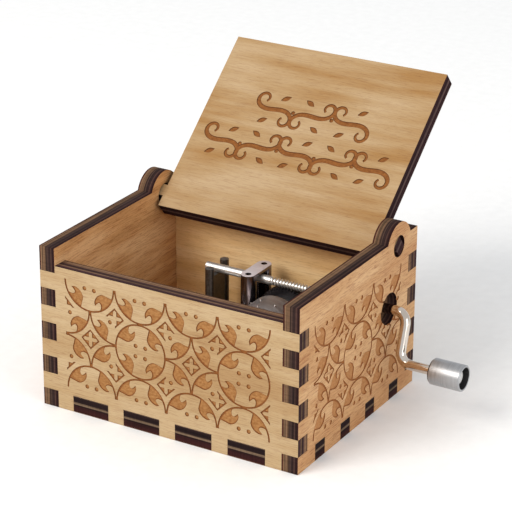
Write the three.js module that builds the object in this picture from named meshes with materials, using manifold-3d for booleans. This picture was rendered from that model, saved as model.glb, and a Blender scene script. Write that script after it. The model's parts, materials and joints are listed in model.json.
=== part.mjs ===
// Hand-crank music box: a finger-jointed plywood case with a hinged lid, and a comb movement that a bent
// wire crank drives through a worm. Millimetres, +X to the crank side, +Y to the back, +Z up.
// The origin is the centre of the base's underside.

import * as THREE from "three";
import { mergeVertices } from "three/addons/utils/BufferGeometryUtils.js";
import Module from "manifold-3d";

const wasm = await Module();
wasm.setup();

// ---------------------------------------------------------------- driving dimensions

// Case
const CASE_WIDTH = 64;
const CASE_DEPTH = 52;
const SIDE_HEIGHT = 37.6;
const PLY = 3.85;
const FINGER = 4; // height of one finger of the corner joints
const KERF = 0.03; // each cut edge stands back this far
const BACK_DROP = 0.3; // back panel's top below the side panels' tops
const FRONT_DROP = 0.15; // front panel's top below the underside of a flush lid
const FRONT_TAB_COUNT = 4;
const FRONT_TAB_GAP = 4;
const SIDE_TAB_COUNT = 4;
const SIDE_TAB_WIDTH = 4.1;

// Lid and its pivots
const LID_LIFT = 0.275; // closed lid's height over the front panel
const LID_SIDE_GAP = 1.03;
const LID_FRONT_SETBACK = 0.85;
const LID_TAIL_GAP = 0.28; // swing clearance between the lid's rear edge and the back panel
const LID_LEAN_GAP = 0.05; // open lid's clearance to the back panel's top edge
const PIVOT_TO_BACK = 8.6;
const PIVOT_TAB_WIDTH = 2.8;
const PIVOT_CLEARANCE = 0.09;
const EAR_RADIUS = 5.5;

// Shaft and worm
const SHAFT_RADIUS = 1.0;
const SHAFT_RISE = 18.65; // above the base panel's top
const SHAFT_TO_BACK = 12.5; // from the case's back face
const SHAFT_LEFT_END = -14.4;
const SHAFT_CHAMFER = 0.2;
const WORM_START = 2.6;
const WORM_END = 13.4;
const WORM_PITCH_RADIUS = 0.73;
const WORM_ADDENDUM = 0.22;
const WORM_DEDENDUM = 0.27;
const WORM_THREAD_WIDTH = 0.34; // at the pitch radius
const MODULE = 0.25;
const FLANK_SLOPE = 0.364; // tan 20 degrees

// Pinned drum and its gear
const GEAR_TEETH = 60;
const GEAR_WIDTH = 2.6;
const GEAR_ADDENDUM = 0.22;
const GEAR_DEDENDUM = 0.3;
const GEAR_TOOTH_WIDTH = 0.29; // at the pitch radius
const GEAR_RIM_OVERLAP = 0.65; // how far the hub runs into the toothed rim
const DRUM_X = 7.0;
const DRUM_RADIUS = 7.5;
const DRUM_WALL = 0.6;
const DRUM_LENGTH = 19;
const DRUM_TO_BRACKET = 0.35;
const HUB_TO_BRACKET = 0.4;
const PIN_RADIUS = 0.2;
const PIN_HEIGHT = 0.3;
const PINS_PER_TINE = 3;
const ARBOR_RADIUS = 0.9;
const PLUG_LENGTH = 2; // how far the cap and the gear's hub reach into the drum

// Comb
const TINE_COUNT = 18;
const TINE_PITCH = 0.98;
const TINE_SLOT = 0.28;
const TINE_LENGTH = 10;
const COMB_ROOT = 6;
const COMB_THICKNESS = 0.8;
const TINE_TIP_INSET = 0.09; // taper on each side of a tine
const COMB_SCREW_SPACING = 6.35;
const COMB_SCREW_DEPTH = 4; // shank below the comb
const COMB_SCREW_TURN = 0.5; // first slot's direction, in radians
const TIP_GAP = 0.12; // from the tines' tips to the circle of the pins' tops

// Bedplate
const BED_LEFT = -17.5;
const BED_RIGHT = 20;
const BED_LENGTH = 36.8;
const BED_BEHIND_SHAFT = 6.3; // from the shaft's axis to the bedplate's back edge
const BED_THICKNESS = 1.8;
const BED_CORNER = 2;
const LAND_MARGIN = 0.2;

// Bracket that bridges the gear, and the twin-post saddle under the shaft's left end
const BRACKET_X = -1.45;
const BRACKET_RADIUS = 1.68;
const BRACKET_SPACING = 6.94;
const BRACKET_RISE = 2.0; // top above the shaft's axis
const BRACKET_WALL = 0.6;
const BRACKET_SLOT = 5.8;
const BRACKET_HOLE_RADIUS = 0.7;
const SADDLE_X = -11.7;
const SADDLE_POST_RADIUS = 1.02;
const SADDLE_SPACING = 6.4;
const SADDLE_RISE = 1.0; // posts' tops above the shaft's axis
const SADDLE_FOOT = 3.4;
const SADDLE_WEB = 1.2;

// Bearing posts
const POST_WIDTH = 6;
const POST_THICKNESS = 1.4;
const POST_CROWN = 2.6; // metal above the bore
const FOOT_LENGTH = 3;
const FOOT_HEIGHT = 1.2;
const RIGHT_POST_X = 17.2;
const POST_GAP = 0.8; // from the drum's ends to the posts

// Coupling, crank and knob
const THRUST_WASHER_RADIUS = 1.9;
const THRUST_WASHER_THICKNESS = 0.4;
const SLEEVE_RADIUS = 2.2;
const SLEEVE_LENGTH = 6;
const GRUB_RADIUS = 0.55;
const GRUB_SOCKET_SIDES = 6;
const WIRE_RADIUS = 1.15;
const CRANK_HOLE_RADIUS = 3.65;
const CRANK_REACH = 4.4; // from the right panel's face to the arm
const CRANK_ARM = 10.9;
const CRANK_BEND = 2.6;
const CRANK_HANG = 17; // degrees forward of straight down
const KNOB_START = 8.0; // from the arm to the knob's inner end
const KNOB_LENGTH = 7.65;
const KNOB_RADIUS = 2.95;
const KNOB_CHAMFER = 0.4;
const KNOB_RECESS_RADIUS = 2.4;
const KNOB_RECESS_DEPTH = 3.2;
const KNOB_CLEARANCE = 0.07;
const CAP_RADIUS = 1.5;
const CAP_SETBACK = 1.0; // cap's end below the knob's rim
const CAP_CHAMFER = 0.3;

// Fasteners
const SCREW_RADIUS = 0.75;
const SCREW_HEAD_RADIUS = 1.35;
const SCREW_HEAD_HEIGHT = 0.8;
const SCREW_HEAD_RIM = 0.48; // height of the head's straight side
const SCREW_CROWN_SHARE = 0.75; // flat top's radius as a share of the head's
const SCREW_SLOT_WIDTH = 0.35;
const SCREW_SLOT_DEPTH = 0.35;
const CASE_SCREW_RADIUS = 0.95;
const CASE_SCREW_HEAD_RADIUS = 1.9;
const CASE_SCREW_RECESS = 0.15;
const CASE_SCREW_INSET = 3.2; // front screws, from the bedplate's edges
const REAR_SCREW_INSET_X = 5.2; // rear screw, clear of the right post's foot
const REAR_SCREW_INSET_Y = 2.2;
const HOLE_CLEARANCE = 0.08;
const SEAT_GAP = 0.05; // between parts that rest on one another
const CUT_OVERRUN = 1; // how far a cutter passes a face

// Sides of the round parts
const SCREW_SIDES = 12;
const CASE_SCREW_SIDES = 16;
const CRANK_HOLE_STEPS = 20;
const POST_SIDES = 20;
const SHAFT_SIDES = 16;
const SLEEVE_SIDES = 24;
const WIRE_STEPS = 40;
const KNOB_SIDES = 32;
const CAP_SIDES = 20;
const DRUM_SIDES = 48;
const HUB_SIDES = 28;
const PIN_SIDES = 5;
const WORM_STEPS_PER_TURN = 10;

// ---------------------------------------------------------------- places worked out from them

const HALF_WIDTH = CASE_WIDTH / 2;
const HALF_DEPTH = CASE_DEPTH / 2;
const INNER_HALF_WIDTH = HALF_WIDTH - PLY;
const INNER_HALF_DEPTH = HALF_DEPTH - PLY;
const FRONT_HEIGHT = SIDE_HEIGHT - PLY - FRONT_DROP;
const BACK_HEIGHT = SIDE_HEIGHT - BACK_DROP;

const PIVOT_Y = HALF_DEPTH - PIVOT_TO_BACK;
const PIVOT_Z = FRONT_HEIGHT + LID_LIFT + PLY / 2;
const PIVOT_HOLE_RADIUS = Math.hypot(PIVOT_TAB_WIDTH / 2, PLY / 2) + PIVOT_CLEARANCE;
const LID_HALF_WIDTH = INNER_HALF_WIDTH - LID_SIDE_GAP;
const LID_REACH = PIVOT_Y + HALF_DEPTH - LID_FRONT_SETBACK;
const LID_TAIL = Math.sqrt((PIVOT_TO_BACK - PLY - LID_TAIL_GAP) ** 2 - (PLY / 2) ** 2);

const SHAFT_Y = HALF_DEPTH - SHAFT_TO_BACK;
const SHAFT_Z = PLY + SHAFT_RISE;
const WORM_LEAD = Math.PI * MODULE;
const GEAR_PITCH_RADIUS = (GEAR_TEETH * MODULE) / 2;
const DRUM_Z = SHAFT_Z - WORM_PITCH_RADIUS - GEAR_PITCH_RADIUS;
const BRACKET_HALF_LENGTH = BRACKET_SPACING / 2 + BRACKET_RADIUS;
const DRUM_BACK = SHAFT_Y - BRACKET_HALF_LENGTH - DRUM_TO_BRACKET;
const DRUM_FRONT = DRUM_BACK - DRUM_LENGTH;
const HUB_RADIUS = DRUM_X - BRACKET_X - BRACKET_RADIUS - HUB_TO_BRACKET;

const BED_BACK = SHAFT_Y + BED_BEHIND_SHAFT;
const BED_FRONT = BED_BACK - BED_LENGTH;
const BED_BOTTOM = PLY + SEAT_GAP;
const BED_TOP = BED_BOTTOM + BED_THICKNESS;
const FOOT_BOTTOM = BED_TOP + SEAT_GAP;
const FOOT_SCREW_REACH = POST_THICKNESS + FOOT_LENGTH / 2;
const CASE_SCREW_HEAD_HEIGHT = CASE_SCREW_HEAD_RADIUS - CASE_SCREW_RADIUS;
const TIP_X = DRUM_X - DRUM_RADIUS - PIN_HEIGHT - TIP_GAP;
const TINE_ROOT_X = TIP_X - TINE_LENGTH;
const COMB_BACK_X = TINE_ROOT_X - COMB_ROOT;
const COMB_BOTTOM = DRUM_Z - COMB_THICKNESS / 2;
const COMB_TOP = COMB_BOTTOM + COMB_THICKNESS;
const LAND_TOP = COMB_BOTTOM - SEAT_GAP;
const COMB_Y = (DRUM_FRONT + DRUM_BACK) / 2;
const COMB_HALF_WIDTH = (TINE_COUNT * TINE_PITCH) / 2;
const COMB_SCREW_X = (COMB_BACK_X + TINE_ROOT_X) / 2;
const COMB_SCREW_YS = [-1, 0, 1].map((side) => COMB_Y + side * COMB_SCREW_SPACING);

const FRONT_POST_Y = DRUM_FRONT - POST_GAP;
const REAR_POST_Y = SHAFT_Y + GEAR_WIDTH / 2 + POST_GAP;
const PLUG_RADIUS = DRUM_RADIUS - DRUM_WALL - SEAT_GAP;
const BRACKET_SCREW_HEAD = BRACKET_RADIUS - BRACKET_WALL - 2 * SEAT_GAP;
const BRACKET_SCREW_YS = [-1, 1].map((side) => SHAFT_Y + (side * BRACKET_SPACING) / 2);
const SADDLE_POST_YS = [-1, 1].map((side) => SHAFT_Y + (side * SADDLE_SPACING) / 2);
const SADDLE_SCREW_X = SADDLE_X - SADDLE_POST_RADIUS - SADDLE_FOOT / 2;

// Case screws, as [x, y]
const CASE_SCREW_PLACES = [
  [BED_LEFT + CASE_SCREW_INSET, BED_FRONT + CASE_SCREW_INSET],
  [BED_RIGHT - CASE_SCREW_INSET, BED_FRONT + CASE_SCREW_INSET],
  [BED_RIGHT - REAR_SCREW_INSET_X, BED_BACK - REAR_SCREW_INSET_Y],
];

// Screws that hold the feet: [name, x, y, head radius where it isn't the usual one]
const FOOT_SCREW_PLACES = [
  ["front_post_screw", DRUM_X, FRONT_POST_Y - FOOT_SCREW_REACH],
  ["rear_post_screw", DRUM_X, REAR_POST_Y + FOOT_SCREW_REACH],
  ["right_post_screw", RIGHT_POST_X + POST_THICKNESS - FOOT_SCREW_REACH, SHAFT_Y],
  ["saddle_screw_front", SADDLE_SCREW_X, SADDLE_POST_YS[0]],
  ["saddle_screw_back", SADDLE_SCREW_X, SADDLE_POST_YS[1]],
  ["bracket_screw_front", BRACKET_X, BRACKET_SCREW_YS[0], BRACKET_SCREW_HEAD],
  ["bracket_screw_back", BRACKET_X, BRACKET_SCREW_YS[1], BRACKET_SCREW_HEAD],
];

const ARM_X = HALF_WIDTH + CRANK_REACH;
const WASHER_START = RIGHT_POST_X + POST_THICKNESS + SEAT_GAP;
const WASHER_END = WASHER_START + THRUST_WASHER_THICKNESS;
const SLEEVE_START = WASHER_END + 2 * SEAT_GAP;
const SLEEVE_MIDDLE = SLEEVE_START + SLEEVE_LENGTH / 2;
const SLEEVE_END = SLEEVE_START + SLEEVE_LENGTH;
const GRUB_X = (SLEEVE_MIDDLE + SLEEVE_END) / 2;
const SHAFT_RIGHT_END = SLEEVE_MIDDLE;
const WIRE_START = SHAFT_RIGHT_END + SEAT_GAP;
const KNOB_X = ARM_X + KNOB_START;
const KNOB_END = KNOB_X + KNOB_LENGTH;
const CAP_END = KNOB_END - CAP_SETBACK;
const CAP_START = KNOB_END - KNOB_RECESS_DEPTH + 2 * SEAT_GAP;
const WIRE_END = (CAP_START + CAP_END) / 2;
const HANG = THREE.MathUtils.degToRad(-CRANK_HANG);

// ---------------------------------------------------------------- finishes

const finish = (color, roughness, metalness) => ({ color, roughness, metalness });
const PLYWOOD = finish(0xd9ba88, 0.7, 0);
const ZINC = finish(0x8c8b8a, 0.45, 0.9);
const GUNMETAL = finish(0x3b3835, 0.45, 0.8);
const STEEL = finish(0xb9b8b5, 0.3, 1);
const NICKEL = finish(0xc9c2c4, 0.2, 1);
const CHROME = finish(0xe3e2e0, 0.1, 1);
const BRASS = finish(0xc6a355, 0.3, 1);
const BLACK_PLASTIC = finish(0x1f1d1e, 0.5, 0);
const ALUMINIUM = finish(0xb5b6b8, 0.35, 1);

// ---------------------------------------------------------------- solids

// Merges shared corners and drops the triangles that this leaves without area.
function welded(geometry) {
  const bare = new THREE.BufferGeometry();
  bare.setAttribute("position", geometry.getAttribute("position"));
  if (geometry.index) bare.setIndex(geometry.index);
  const merged = mergeVertices(bare, 1e-4);
  const kept = [];
  const corners = merged.index.array;
  for (let i = 0; i < corners.length; i += 3) {
    const [a, b, c] = corners.subarray(i, i + 3);
    if (a !== b && b !== c && c !== a) kept.push(a, b, c);
  }
  merged.setIndex(kept);
  return merged;
}

function toManifold(geometry) {
  const mesh = welded(geometry);
  return new wasm.Manifold(
    new wasm.Mesh({
      numProp: 3,
      vertProperties: new Float32Array(mesh.getAttribute("position").array),
      triVerts: new Uint32Array(mesh.index.array),
    }),
  );
}

function fromManifold(solid) {
  const mesh = solid.getMesh();
  const geometry = new THREE.BufferGeometry();
  geometry.setAttribute("position", new THREE.BufferAttribute(new Float32Array(mesh.vertProperties), 3));
  geometry.setIndex([...mesh.triVerts]);
  return geometry;
}

function join(first, ...others) {
  return fromManifold(others.reduce((solid, other) => solid.add(toManifold(other)), toManifold(first)));
}

function cut(body, ...tools) {
  return fromManifold(tools.reduce((solid, tool) => solid.subtract(toManifold(tool)), toManifold(body)));
}

function common(first, second) {
  return fromManifold(toManifold(first).intersect(toManifold(second)));
}

// A box between two corners.
function block(low, high) {
  const size = high.map((value, i) => value - low[i]);
  const middle = high.map((value, i) => (value + low[i]) / 2);
  return new THREE.BoxGeometry(...size).translate(...middle);
}

// A solid of revolution about an axis; the outline's points are [radius, distance along the axis].
function turned(outline, segments, axis = "z") {
  const points = outline.map(([radius, along]) => new THREE.Vector2(radius, along));
  const lathe = new THREE.LatheGeometry(points, segments);
  if (axis === "x") return lathe.rotateZ(-Math.PI / 2);
  if (axis === "z") return lathe.rotateX(Math.PI / 2);
  return lathe;
}

// A round bar along an axis from start to end.
function bar(radius, start, end, segments, axis = "z") {
  return turned([[0, start], [radius, start], [radius, end], [0, end]], segments, axis);
}

// A round tube along an axis from start to end.
function tube(inner, outer, start, end, segments, axis = "z") {
  const ring = [[inner, start], [outer, start], [outer, end], [inner, end], [inner, start]];
  return turned(ring, segments, axis);
}

function polygon(points) {
  return new THREE.Shape(points.map(([x, y]) => new THREE.Vector2(x, y)));
}

function circleHole(x, y, radius) {
  return new THREE.Path().absarc(x, y, radius, 0, 2 * Math.PI, true);
}

function sheet(shape, thickness, curveSegments = 12) {
  return new THREE.ExtrudeGeometry(shape, { depth: thickness, bevelEnabled: false, curveSegments });
}

// ---------------------------------------------------------------- the group

const musicBox = new THREE.Group();
musicBox.name = "music_box";

function place(parent, name, geometry, look) {
  const mesh = new THREE.Mesh(geometry, new THREE.MeshStandardMaterial(look));
  mesh.name = name;
  parent.add(mesh);
  return mesh;
}

// ---------------------------------------------------------------- plywood case

// The base's tabs along one edge, as [start, end] pairs.
const frontTabs = tabsWithGaps(INNER_HALF_WIDTH, FRONT_TAB_COUNT, FRONT_TAB_GAP);
const sideTabs = tabsOnPitch(INNER_HALF_DEPTH, SIDE_TAB_COUNT, SIDE_TAB_WIDTH);

function tabsWithGaps(halfLength, count, gap) {
  const width = (2 * halfLength - (count + 1) * gap) / count;
  return Array.from({ length: count }, (_, i) => {
    const start = -halfLength + gap + i * (width + gap);
    return [start, start + width];
  });
}

function tabsOnPitch(halfLength, count, width) {
  const pitch = (2 * halfLength) / count;
  return Array.from({ length: count }, (_, i) => {
    const middle = (i - (count - 1) / 2) * pitch;
    return [middle - width / 2, middle + width / 2];
  });
}

// Bottom edge from left to right, with an open notch for each tab of the base.
function notchedBottom(tabs) {
  const top = PLY + KERF;
  return tabs.flatMap(([start, end]) => [
    [start - KERF, 0],
    [start - KERF, top],
    [end + KERF, top],
    [end + KERF, 0],
  ]);
}

// Heights of the fingers that the front and back panels own: every second one, below their top.
function wallFingers(height) {
  const fingers = [];
  for (let low = FINGER; low + FINGER <= height; low += 2 * FINGER) fingers.push([low, low + FINGER]);
  return fingers;
}

// Front or back panel, seen from the front: fingers reach the case's side faces.
function wallPanel(height) {
  const inside = INNER_HALF_WIDTH - KERF;
  const rightEdge = wallFingers(height).flatMap(([low, high]) => [
    [inside, low + KERF],
    [HALF_WIDTH, low + KERF],
    [HALF_WIDTH, high - KERF],
    [inside, high - KERF],
  ]);
  const leftEdge = rightEdge.map(([x, z]) => [-x, z]).reverse();
  const outline = [
    [-inside, 0],
    ...notchedBottom(frontTabs),
    [inside, 0],
    ...rightEdge,
    [inside, height],
    [-inside, height],
    ...leftEdge,
  ];
  return sheet(polygon(outline), PLY).rotateX(Math.PI / 2);
}

// Side panel, seen along X with Y to the right: it owns the corner where the walls have no finger.
function sidePanel(holes) {
  const inside = INNER_HALF_DEPTH - KERF;
  const backEdge = wallFingers(BACK_HEIGHT).flatMap(([low, high]) => [
    [HALF_DEPTH, low - KERF],
    [inside, low - KERF],
    [inside, high + KERF],
    [HALF_DEPTH, high + KERF],
  ]);
  const frontEdge = wallFingers(FRONT_HEIGHT).flatMap(([low, high]) => [
    [-HALF_DEPTH, low - KERF],
    [-inside, low - KERF],
    [-inside, high + KERF],
    [-HALF_DEPTH, high + KERF],
  ]);
  const shape = polygon([[-HALF_DEPTH, 0], ...notchedBottom(sideTabs), [HALF_DEPTH, 0], ...backEdge]);
  shape.lineTo(HALF_DEPTH, SIDE_HEIGHT);
  const earStart = Math.asin((SIDE_HEIGHT - PIVOT_Z) / EAR_RADIUS);
  shape.absarc(PIVOT_Y, PIVOT_Z, EAR_RADIUS, earStart, Math.PI - earStart, false);
  shape.lineTo(-HALF_DEPTH, SIDE_HEIGHT);
  frontEdge.reverse().forEach(([y, z]) => shape.lineTo(y, z));
  shape.holes.push(...holes);
  return sheet(shape, PLY, CRANK_HOLE_STEPS).rotateX(Math.PI / 2).rotateZ(Math.PI / 2);
}

function basePanel() {
  const x = INNER_HALF_WIDTH - KERF;
  const y = INNER_HALF_DEPTH - KERF;
  const front = frontTabs.flatMap(([a, b]) => [[a, -y], [a, -HALF_DEPTH], [b, -HALF_DEPTH], [b, -y]]);
  const right = sideTabs.flatMap(([a, b]) => [[x, a], [HALF_WIDTH, a], [HALF_WIDTH, b], [x, b]]);
  const back = front.map(([px, py]) => [px, -py]).reverse();
  const left = right.map(([px, py]) => [-px, py]).reverse();
  const outline = [[-x, -y], ...front, [x, -y], ...right, [x, y], ...back, [-x, y], ...left];
  return cut(sheet(polygon(outline), PLY), ...CASE_SCREW_PLACES.map(countersunkHole));
}

// Lid in its closed pose with the pivot line at the origin.
function lidPanel() {
  const tab = PIVOT_TAB_WIDTH / 2;
  const outline = [
    [-LID_HALF_WIDTH, -LID_REACH],
    [LID_HALF_WIDTH, -LID_REACH],
    [LID_HALF_WIDTH, -tab],
    [HALF_WIDTH, -tab],
    [HALF_WIDTH, tab],
    [LID_HALF_WIDTH, tab],
    [LID_HALF_WIDTH, LID_TAIL],
    [-LID_HALF_WIDTH, LID_TAIL],
    [-LID_HALF_WIDTH, tab],
    [-HALF_WIDTH, tab],
    [-HALF_WIDTH, -tab],
    [-LID_HALF_WIDTH, -tab],
  ];
  return sheet(polygon(outline), PLY).translate(0, 0, -PLY / 2);
}

// Angle that turns the closed lid back until its outer face leans on the back panel's inner top edge.
function lidOpening() {
  const edgeY = PIVOT_TO_BACK - PLY;
  const edgeZ = BACK_HEIGHT - PIVOT_Z;
  const lean = Math.atan2(edgeZ, edgeY) + Math.asin((PLY / 2 + LID_LEAN_GAP) / Math.hypot(edgeY, edgeZ));
  return Math.PI - lean;
}

function addCase() {
  const pivotHole = () => circleHole(PIVOT_Y, PIVOT_Z, PIVOT_HOLE_RADIUS);
  place(musicBox, "front_panel", wallPanel(FRONT_HEIGHT), PLYWOOD).position.y = -HALF_DEPTH + PLY;
  place(musicBox, "back_panel", wallPanel(BACK_HEIGHT), PLYWOOD).position.y = HALF_DEPTH;
  place(musicBox, "left_panel", sidePanel([pivotHole()]), PLYWOOD).position.x = -HALF_WIDTH;
  const crankHole = circleHole(SHAFT_Y, SHAFT_Z, CRANK_HOLE_RADIUS);
  place(musicBox, "right_panel", sidePanel([pivotHole(), crankHole]), PLYWOOD).position.x = INNER_HALF_WIDTH;
  place(musicBox, "base_panel", basePanel(), PLYWOOD);
  const lid = place(musicBox, "lid_panel", lidPanel(), PLYWOOD);
  lid.position.set(0, PIVOT_Y, PIVOT_Z);
  lid.rotation.x = -lidOpening();
}

// ---------------------------------------------------------------- fasteners

// Slotted pan-head screw with its head's underside at z = 0 and its shank pointing down.
function panScrew(shankLength, headRadius = SCREW_HEAD_RADIUS) {
  const profile = [
    [0, -shankLength],
    [SCREW_RADIUS, -shankLength],
    [SCREW_RADIUS, 0],
    [headRadius, 0],
    [headRadius, SCREW_HEAD_RIM],
    [headRadius * SCREW_CROWN_SHARE, SCREW_HEAD_HEIGHT],
    [0, SCREW_HEAD_HEIGHT],
  ];
  const slotFloor = SCREW_HEAD_HEIGHT - SCREW_SLOT_DEPTH;
  const reach = headRadius + CUT_OVERRUN;
  const slot = block(
    [-reach, -SCREW_SLOT_WIDTH / 2, slotFloor],
    [reach, SCREW_SLOT_WIDTH / 2, SCREW_HEAD_HEIGHT + CUT_OVERRUN],
  );
  return cut(turned(profile, SCREW_SIDES), slot);
}

// Screw that holds a foot or plate whose top is at seatZ, down to the bedplate's underside.
function addScrew(name, x, y, seatZ, turn, headRadius) {
  const screw = place(musicBox, name, panScrew(seatZ - BED_BOTTOM, headRadius), STEEL);
  screw.position.set(x, y, seatZ + SEAT_GAP);
  screw.rotation.z = turn;
}

function screwHole(x, y, bottom, top) {
  const radius = SCREW_RADIUS + HOLE_CLEARANCE;
  return bar(radius, bottom - CUT_OVERRUN, top + CUT_OVERRUN, SCREW_SIDES).translate(x, y, 0);
}

// Countersunk hole through the base, with its mouth on the underside.
function countersunkHole([x, y]) {
  const radius = CASE_SCREW_RADIUS + HOLE_CLEARANCE;
  const mouth = CASE_SCREW_HEAD_RADIUS + HOLE_CLEARANCE + CASE_SCREW_RECESS;
  const profile = [
    [0, -CUT_OVERRUN],
    [mouth + CUT_OVERRUN, -CUT_OVERRUN],
    [radius, mouth - radius],
    [radius, PLY + CUT_OVERRUN],
    [0, PLY + CUT_OVERRUN],
  ];
  return turned(profile, CASE_SCREW_SIDES).translate(x, y, 0);
}

// Countersunk screw that comes up through the base into the bedplate.
function caseScrew() {
  const top = BED_TOP - SEAT_GAP;
  const profile = [
    [0, CASE_SCREW_RECESS],
    [CASE_SCREW_HEAD_RADIUS, CASE_SCREW_RECESS],
    [CASE_SCREW_RADIUS, CASE_SCREW_RECESS + CASE_SCREW_HEAD_HEIGHT],
    [CASE_SCREW_RADIUS, top],
    [0, top],
  ];
  const slot = block(
    [-CASE_SCREW_HEAD_RADIUS, -SCREW_SLOT_WIDTH / 2, -CUT_OVERRUN],
    [CASE_SCREW_HEAD_RADIUS, SCREW_SLOT_WIDTH / 2, CASE_SCREW_RECESS + SCREW_SLOT_DEPTH],
  );
  return cut(turned(profile, CASE_SCREW_SIDES), slot);
}

// ---------------------------------------------------------------- bedplate and comb

function bedplate() {
  const shape = new THREE.Shape();
  const low = BED_CORNER;
  shape.absarc(BED_RIGHT - low, BED_FRONT + low, low, -Math.PI / 2, 0);
  shape.absarc(BED_RIGHT - low, BED_BACK - low, low, 0, Math.PI / 2);
  shape.absarc(BED_LEFT + low, BED_BACK - low, low, Math.PI / 2, Math.PI);
  shape.absarc(BED_LEFT + low, BED_FRONT + low, low, Math.PI, 1.5 * Math.PI);
  const plate = sheet(shape, BED_THICKNESS, 4).translate(0, 0, BED_BOTTOM);
  const land = block(
    [COMB_BACK_X, COMB_Y - COMB_HALF_WIDTH - LAND_MARGIN, BED_TOP - BED_THICKNESS / 2],
    [TINE_ROOT_X - LAND_MARGIN, COMB_Y + COMB_HALF_WIDTH + LAND_MARGIN, LAND_TOP],
  );
  const combHoleBottom = LAND_TOP - COMB_SCREW_DEPTH + CUT_OVERRUN;
  const combHoles = COMB_SCREW_YS.map((y) => screwHole(COMB_SCREW_X, y, combHoleBottom, LAND_TOP));
  const caseHole = CASE_SCREW_RADIUS + HOLE_CLEARANCE;
  const caseHoles = CASE_SCREW_PLACES.map(([x, y]) => {
    const hole = bar(caseHole, BED_BOTTOM - CUT_OVERRUN, BED_TOP + CUT_OVERRUN, CASE_SCREW_SIDES);
    return hole.translate(x, y, 0);
  });
  const footHoles = FOOT_SCREW_PLACES.map(([, x, y]) => screwHole(x, y, BED_BOTTOM, BED_TOP));
  return cut(join(plate, land), ...combHoles, ...caseHoles, ...footHoles);
}

// Steel comb: a root plate with one tapered tine for each note.
function comb() {
  const front = COMB_Y - COMB_HALF_WIDTH;
  const tines = Array.from({ length: TINE_COUNT }, (_, i) => {
    const low = front + i * TINE_PITCH + TINE_SLOT / 2;
    const high = low + TINE_PITCH - TINE_SLOT;
    return [
      [TINE_ROOT_X, low],
      [TIP_X, low + TINE_TIP_INSET],
      [TIP_X, high - TINE_TIP_INSET],
      [TINE_ROOT_X, high],
    ];
  });
  const back = COMB_Y + COMB_HALF_WIDTH;
  const shape = polygon([
    [COMB_BACK_X, front],
    [TINE_ROOT_X, front],
    ...tines.flat(),
    [TINE_ROOT_X, back],
    [COMB_BACK_X, back],
  ]);
  const hole = SCREW_RADIUS + HOLE_CLEARANCE;
  shape.holes.push(...COMB_SCREW_YS.map((y) => circleHole(COMB_SCREW_X, y, hole)));
  return sheet(shape, COMB_THICKNESS, 8).translate(0, 0, COMB_BOTTOM);
}

function addCombScrews() {
  COMB_SCREW_YS.forEach((y, i) => {
    const length = COMB_THICKNESS + COMB_SCREW_DEPTH - SEAT_GAP;
    const screw = place(musicBox, `comb_screw_${i + 1}`, panScrew(length), STEEL);
    screw.position.set(COMB_SCREW_X, y, COMB_TOP + SEAT_GAP);
    screw.rotation.z = COMB_SCREW_TURN + i;
  });
}

// ---------------------------------------------------------------- bracket, saddle and bearing posts

// Round-ended outline along Y about the shaft, as wide as twice the radius.
function roundEnded(x, radius, spacing) {
  const shape = new THREE.Shape();
  shape.absarc(x, SHAFT_Y + spacing / 2, radius, 0, Math.PI);
  shape.absarc(x, SHAFT_Y - spacing / 2, radius, Math.PI, 2 * Math.PI);
  return shape;
}

// Nickel bracket: a thin round-ended roof over the shaft on two half-round legs that straddle the gear.
function shaftBracket() {
  const top = SHAFT_Z + BRACKET_RISE;
  const bottom = FOOT_BOTTOM;
  const outer = sheet(roundEnded(BRACKET_X, BRACKET_RADIUS, BRACKET_SPACING), top - bottom);
  const hollowHeight = top - bottom - BRACKET_WALL - FOOT_HEIGHT;
  const hollow = sheet(roundEnded(BRACKET_X, BRACKET_RADIUS - BRACKET_WALL, BRACKET_SPACING), hollowHeight);
  const slotTop = FOOT_HEIGHT + hollowHeight - SEAT_GAP;
  const slot = block(
    [BRACKET_X - BRACKET_RADIUS - CUT_OVERRUN, SHAFT_Y - BRACKET_SLOT / 2, -CUT_OVERRUN],
    [BRACKET_X + BRACKET_RADIUS + CUT_OVERRUN, SHAFT_Y + BRACKET_SLOT / 2, slotTop],
  );
  const roofHoles = BRACKET_SCREW_YS.map((y) =>
    bar(BRACKET_HOLE_RADIUS, slotTop / 2, top - bottom + CUT_OVERRUN, SHAFT_SIDES).translate(BRACKET_X, y, 0),
  );
  const footHoles = BRACKET_SCREW_YS.map((y) => screwHole(BRACKET_X, y, 0, FOOT_HEIGHT));
  const body = cut(outer, hollow.translate(0, 0, FOOT_HEIGHT), slot, ...roofHoles, ...footHoles);
  return body.translate(0, 0, bottom);
}

// Dark saddle: two round posts, a web between them under the shaft, and a foot.
function shaftSaddle() {
  const top = SHAFT_Z + SADDLE_RISE;
  const webTop = SHAFT_Z - SHAFT_RADIUS - HOLE_CLEARANCE;
  const posts = SADDLE_POST_YS.map((y) =>
    bar(SADDLE_POST_RADIUS, FOOT_BOTTOM, top, POST_SIDES).translate(SADDLE_X, y, 0),
  );
  const web = block(
    [SADDLE_X - SADDLE_WEB / 2, SADDLE_POST_YS[0], FOOT_BOTTOM],
    [SADDLE_X + SADDLE_WEB / 2, SADDLE_POST_YS[1], webTop],
  );
  const footHalf = SADDLE_SPACING / 2 + SADDLE_POST_RADIUS;
  const foot = block(
    [SADDLE_X - SADDLE_POST_RADIUS - SADDLE_FOOT, SHAFT_Y - footHalf, FOOT_BOTTOM],
    [SADDLE_X + SADDLE_POST_RADIUS, SHAFT_Y + footHalf, FOOT_BOTTOM + FOOT_HEIGHT],
  );
  const footTop = FOOT_BOTTOM + FOOT_HEIGHT;
  const holes = SADDLE_POST_YS.map((y) => screwHole(SADDLE_SCREW_X, y, FOOT_BOTTOM, footTop));
  return cut(join(web, foot, ...posts), ...holes);
}

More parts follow.
